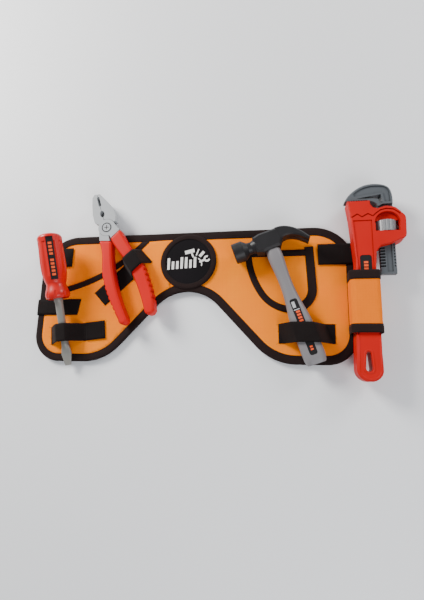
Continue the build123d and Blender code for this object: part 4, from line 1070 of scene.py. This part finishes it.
def stitch_across(place, along, height):
    """Sewn lines across a loop, at distances along it."""
    marks, edge = 8, 1.2
    pitch = (LOOP_W - 2 * edge) / marks
    lift = Vector((0, 0, height))
    for u in along:
        for k in range(marks):
            v = -LOOP_W / 2 + edge + pitch * k
            stitch(Vector(place(u, v)) + lift, Vector(place(u, v + pitch - 0.8)) + lift)


ON_LOOP, ON_DOUBLE = LOOP_T / 2 + 0.05, LOOP_T * 1.5 + 0.1
stitch_across(sd_place, (2.2, 4.4), ON_LOOP)
stitch_across(sd_place, (69.0, 66.6, 49.5), ON_DOUBLE)
stitch_across(pl_place, (2.2, 4.4, 77.6, 75.2), ON_LOOP)
stitch_across(hm_place, (2.2, 4.4, 59.6, 57.4), ON_LOOP)


def end_tufts(place, length, seed, height=0.3):
    """Loose threads at a loop's two cut ends."""
    rng = random.Random(seed)
    for u, outward in ((0.0, -1), (length, 1)):
        for v in (-LOOP_W / 2 + 0.4, LOOP_W / 2 - 0.4, rng.uniform(-6, 6)):
            p = Vector(place(u, v))
            q = Vector(place(u + outward, v))
            heading = math.degrees(math.atan2(q.y - p.y, q.x - p.x)) + rng.uniform(-60, 60)
            tuft(p.x, p.y, p.z + height, heading, rng.uniform(1.4, 3.4), rng.randrange(999))


end_tufts(sd_place, SD_LOOP_L, 3, 0.5)
end_tufts(pl_place, PL_LOOP_L, 4)
end_tufts(hm_place, HM_LOOP_L, 5)

# ---- wrench sleeve
WR_X = HALF + 5.3
WR_HALF_T = 10.0
WR_MID = 5.8 + WR_HALF_T
WR_TOP = WR_MID + WR_HALF_T
WR_LEFT, WR_RIGHT = WR_X - 13.8, WR_X + 13.3
SLEEVE_T = 0.9
SLEEVE_HALF_W = (WR_RIGHT - WR_LEFT) / 2 + SLEEVE_T
SLEEVE_HALF_H = WR_HALF_T + SLEEVE_T
SLEEVE_X = (WR_LEFT + WR_RIGHT) / 2
SLEEVE_CORNER_R = 3.5


def sleeve_band(name, y0, y1, grow, wall, pucker, material, node):
    """A soft tube round the wrench's handle from y0 to y1, grow outside the sleeve's inner face."""
    w, h = SLEEVE_HALF_W + grow, SLEEVE_HALF_H + grow
    corners = [(-w, -h), (w, -h), (w, h), (-w, h)]
    section = resample(rounded(corners, [SLEEVE_CORNER_R + grow] * 4, 1.0), 1.8)
    outward = [-n for n in normals_of(section, True)]
    verts, faces, uvs = [], [], []
    rows = max(4, int((y1 - y0) / 1.6))
    count = len(section)
    for shell in (0, 1):
        for i in range(rows + 1):
            y = y0 + (y1 - y0) * i / rows
            lip = 0.3 if i in (0, rows) else 0.0
            for k, (p, n) in enumerate(zip(section, outward)):
                swell = 0.5 + 0.5 * noise.noise(Vector((p.x / 9, p.y / 9 + 3.0, y / 17)))
                bulge = pucker * swell * max(0.0, 1 - p.y / (-h) if p.y < 0 else 1.0)
                out = (wall * (1 - lip) if shell == 0 else 0.1) + bulge
                verts.append((SLEEVE_X + p.x + n.x * out, y, WR_MID + p.y + n.y * out))
                uvs.append((k * 1.8, y))
    layer = (rows + 1) * count
    for shell in (0, 1):
        for i in range(rows):
            for k in range(count):
                m = (k + 1) % count
                a = shell * layer + i * count
                quad = (a + k, a + m, a + count + m, a + count + k)
                faces.append(quad if shell == 0 else tuple(reversed(quad)))
    for i in (0, rows):
        for k in range(count):
            m = (k + 1) % count
            a = i * count
            faces.append((a + k, a + m, a + layer + m, a + layer + k))
    obj = mesh_object(name, verts, faces, uvs)
    return dress(obj, material, replaces=[node])


S_LOW, S_HIGH, HEM = -90.0, -22.5, 10.0
sleeve = sleeve_band(
    "sleeve_cloth", S_LOW + 2, S_HIGH - 2, 0.0, SLEEVE_T, 0.5, "orange_sleeve", "wrench_sleeve",
)
for end, low, high in (("top", S_HIGH - HEM, S_HIGH), ("bottom", S_LOW, S_LOW + HEM - 0.6)):
    tape = "sleeve_" + end
    sleeve_band(tape + "_tape", low, high, 0.75, 1.0, 0.45, "binding", tape + "_binding")

# ---- tools: materials of the carried-over nodes
dressed = {
    "screwdriver_handle": "red_clear", "screwdriver_label": "label", "screwdriver_shaft": "shaft",
    "pliers_fixed_lever": "pliers", "pliers_moving_lever": "pliers", "pliers_rivet": "pliers",
    "pliers_left_grip": "red", "pliers_right_grip": "red",
    "hammer_head": "head", "hammer_handle": "grey", "hammer_label": "label",
    "wrench_body": "red_wrench", "wrench_label": "label", "hook_jaw": "hook", "thumb_wheel": "wheel",
}
for node, material in dressed.items():
    nodes[node].data.materials.clear()
    nodes[node].data.materials.append(mat[material])


def bars(name, body, material, origin, along, side, high, boxes):
    """Raised marks on a label: each is (start, end, low side, high side) in the label's plane."""
    verts, faces = [], []
    for s0, s1, v0, v1 in boxes:
        start = len(verts)
        for z in (0.0, 0.16):
            for s, v in ((s0, v0), (s1, v0), (s1, v1), (s0, v1)):
                verts.append(tuple(origin + along * s + side * v + high * z))
        faces += [(start + 4, start + 5, start + 6, start + 7)]
        for i in range(4):
            j = (i + 1) % 4
            faces.append((start + i, start + j, start + 4 + j, start + 4 + i))
    obj = mesh_object(name, verts, faces)
    obj.data.polygons.foreach_set("use_smooth", [False] * len(obj.data.polygons))
    dress(obj, material, body=body)


def row(first, pitch, length, low, high, number):
    """Equal marks one after another along a label."""
    return [(first + pitch * k, first + pitch * k + length, low, high) for k in range(number)]


LABEL_TURN = radians(26.0)
lab_up = SD_UP * cos(LABEL_TURN) + SD_SIDE * sin(LABEL_TURN)
lab_side = lab_up.cross(SD_DIR)
lab_at = SD_AT + lab_up * (SD_HANDLE_R - 1.48)
sd_marks = row(12, 4.4, 2.8, -2.1, 2.1, 4) + row(33, 4.4, 2.8, -2.1, 2.1, 5)
bars("screwdriver_label_marks", "screwdriver", "label_orange", lab_at, SD_DIR, lab_side, lab_up, sd_marks)

hm_lab = HM_AT + HM_UP * (HM_HALF_T - 0.35)
hm_marks = row(88, 3.4, 2.2, -1.7, 2.6, 6) + row(128, 3.0, 1.8, -1.5, 1.5, 2)
hm_silver = [(77, 84, -3.0, 0.4), (86, 87, -3.2, 3.2), (100, 108, -3.6, -2.4)]
bars("hammer_label_marks", "hammer", "label_orange", hm_lab, HM_DIR, HM_SIDE, HM_UP, hm_marks)
bars("hammer_label_silver", "hammer", "label_silver", hm_lab, HM_DIR, HM_SIDE, HM_UP, hm_silver)

wr_lab = Vector((WR_X + 1.8, -5.3, WR_TOP - 1.15))
wr_down, wr_left, wr_up = Vector((0, -1, 0)), Vector((-1, 0, 0)), Vector((0, 0, 1))
wr_marks = row(7, 3.6, 2.4, -2.2, 2.2, 16)
bars("wrench_label_marks", "wrench", "label_orange", wr_lab, wr_down, wr_left, wr_up, wr_marks)

# ---- raised rims of the wrench's lower handle
RIM_PROFILE = [(-0.95, -0.2), (-0.8, 0.22), (-0.4, 0.45), (0.4, 0.45), (0.8, 0.22), (0.95, -0.2)]
HOLE_X = WR_X - 1.0
HOLE_LOW_Y, HOLE_HIGH_Y = -126.4, -111.8
RIM_LOW_R, RIM_HIGH_R = 4.9, 3.7


def wrench_rim(name, path, closed):
    """A low moulded rim on the upper face of the wrench's handle."""
    rim = sweep(name, path, RIM_PROFILE, closed, lift=lambda x, y: WR_TOP)
    dress(rim, "red_wrench", body="wrench")


rim_corners = [(WR_X + 11.6, -86.0), (WR_X + 10.8, -137.6), (WR_X - 11.3, -137.6), (WR_X - 9.5, -86.0)]
wrench_rim("wrench_end_rim", rounded(rim_corners, [0, 10.4, 10.4, 0], step=1.2), False)
hole_rim = []
for k in range(32):
    a = pi * k / 16
    y, r = (HOLE_HIGH_Y, RIM_HIGH_R) if 0 < k <= 16 else (HOLE_LOW_Y, RIM_LOW_R)
    hole_rim.append(Vector((HOLE_X + r * cos(a), y + r * sin(a))))
wrench_rim("wrench_hole_rim", hole_rim, True)

# ---- stitches and loose threads
stitches = mesh_object("stitching", stitch_verts, stitch_faces, stitch_uvs)
dress(stitches, "thread")

thread_data = bpy.data.curves.new("loose_threads", "CURVE")
thread_data.dimensions = "3D"
thread_data.bevel_depth = 0.11 * MM
thread_data.bevel_resolution = 1
for points in thread_runs:
    spline = thread_data.splines.new("POLY")
    spline.points.add(len(points) - 1)
    for point, p in zip(spline.points, points):
        point.co = (p.x * MM, p.y * MM, p.z * MM, 1.0)
threads = bpy.data.objects.new("loose_threads", thread_data)
dress(threads, "thread")

# ---- floor
FLOOR_HALF = 2.5
floor_mesh = bpy.data.meshes.new("floor")
floor_corners = [(x * FLOOR_HALF, y * FLOOR_HALF, FLOOR_Z) for x, y in ((-1, -1), (1, -1), (1, 1), (-1, 1))]
floor_mesh.from_pydata(floor_corners, [], [(0, 1, 2, 3)])
floor = bpy.data.objects.new("floor", floor_mesh)
bpy.context.scene.collection.objects.link(floor)
paint = Nodes("floor_paint")
shade = paint.noise(paint.place("Object"), 3.0)
floor_colour = paint.mix(shade, (0.80, 0.81, 0.83, 1.0), (0.84, 0.85, 0.86, 1.0))
floor_mesh.materials.append(paint.out(Base_Color=floor_colour, Roughness=0.6))
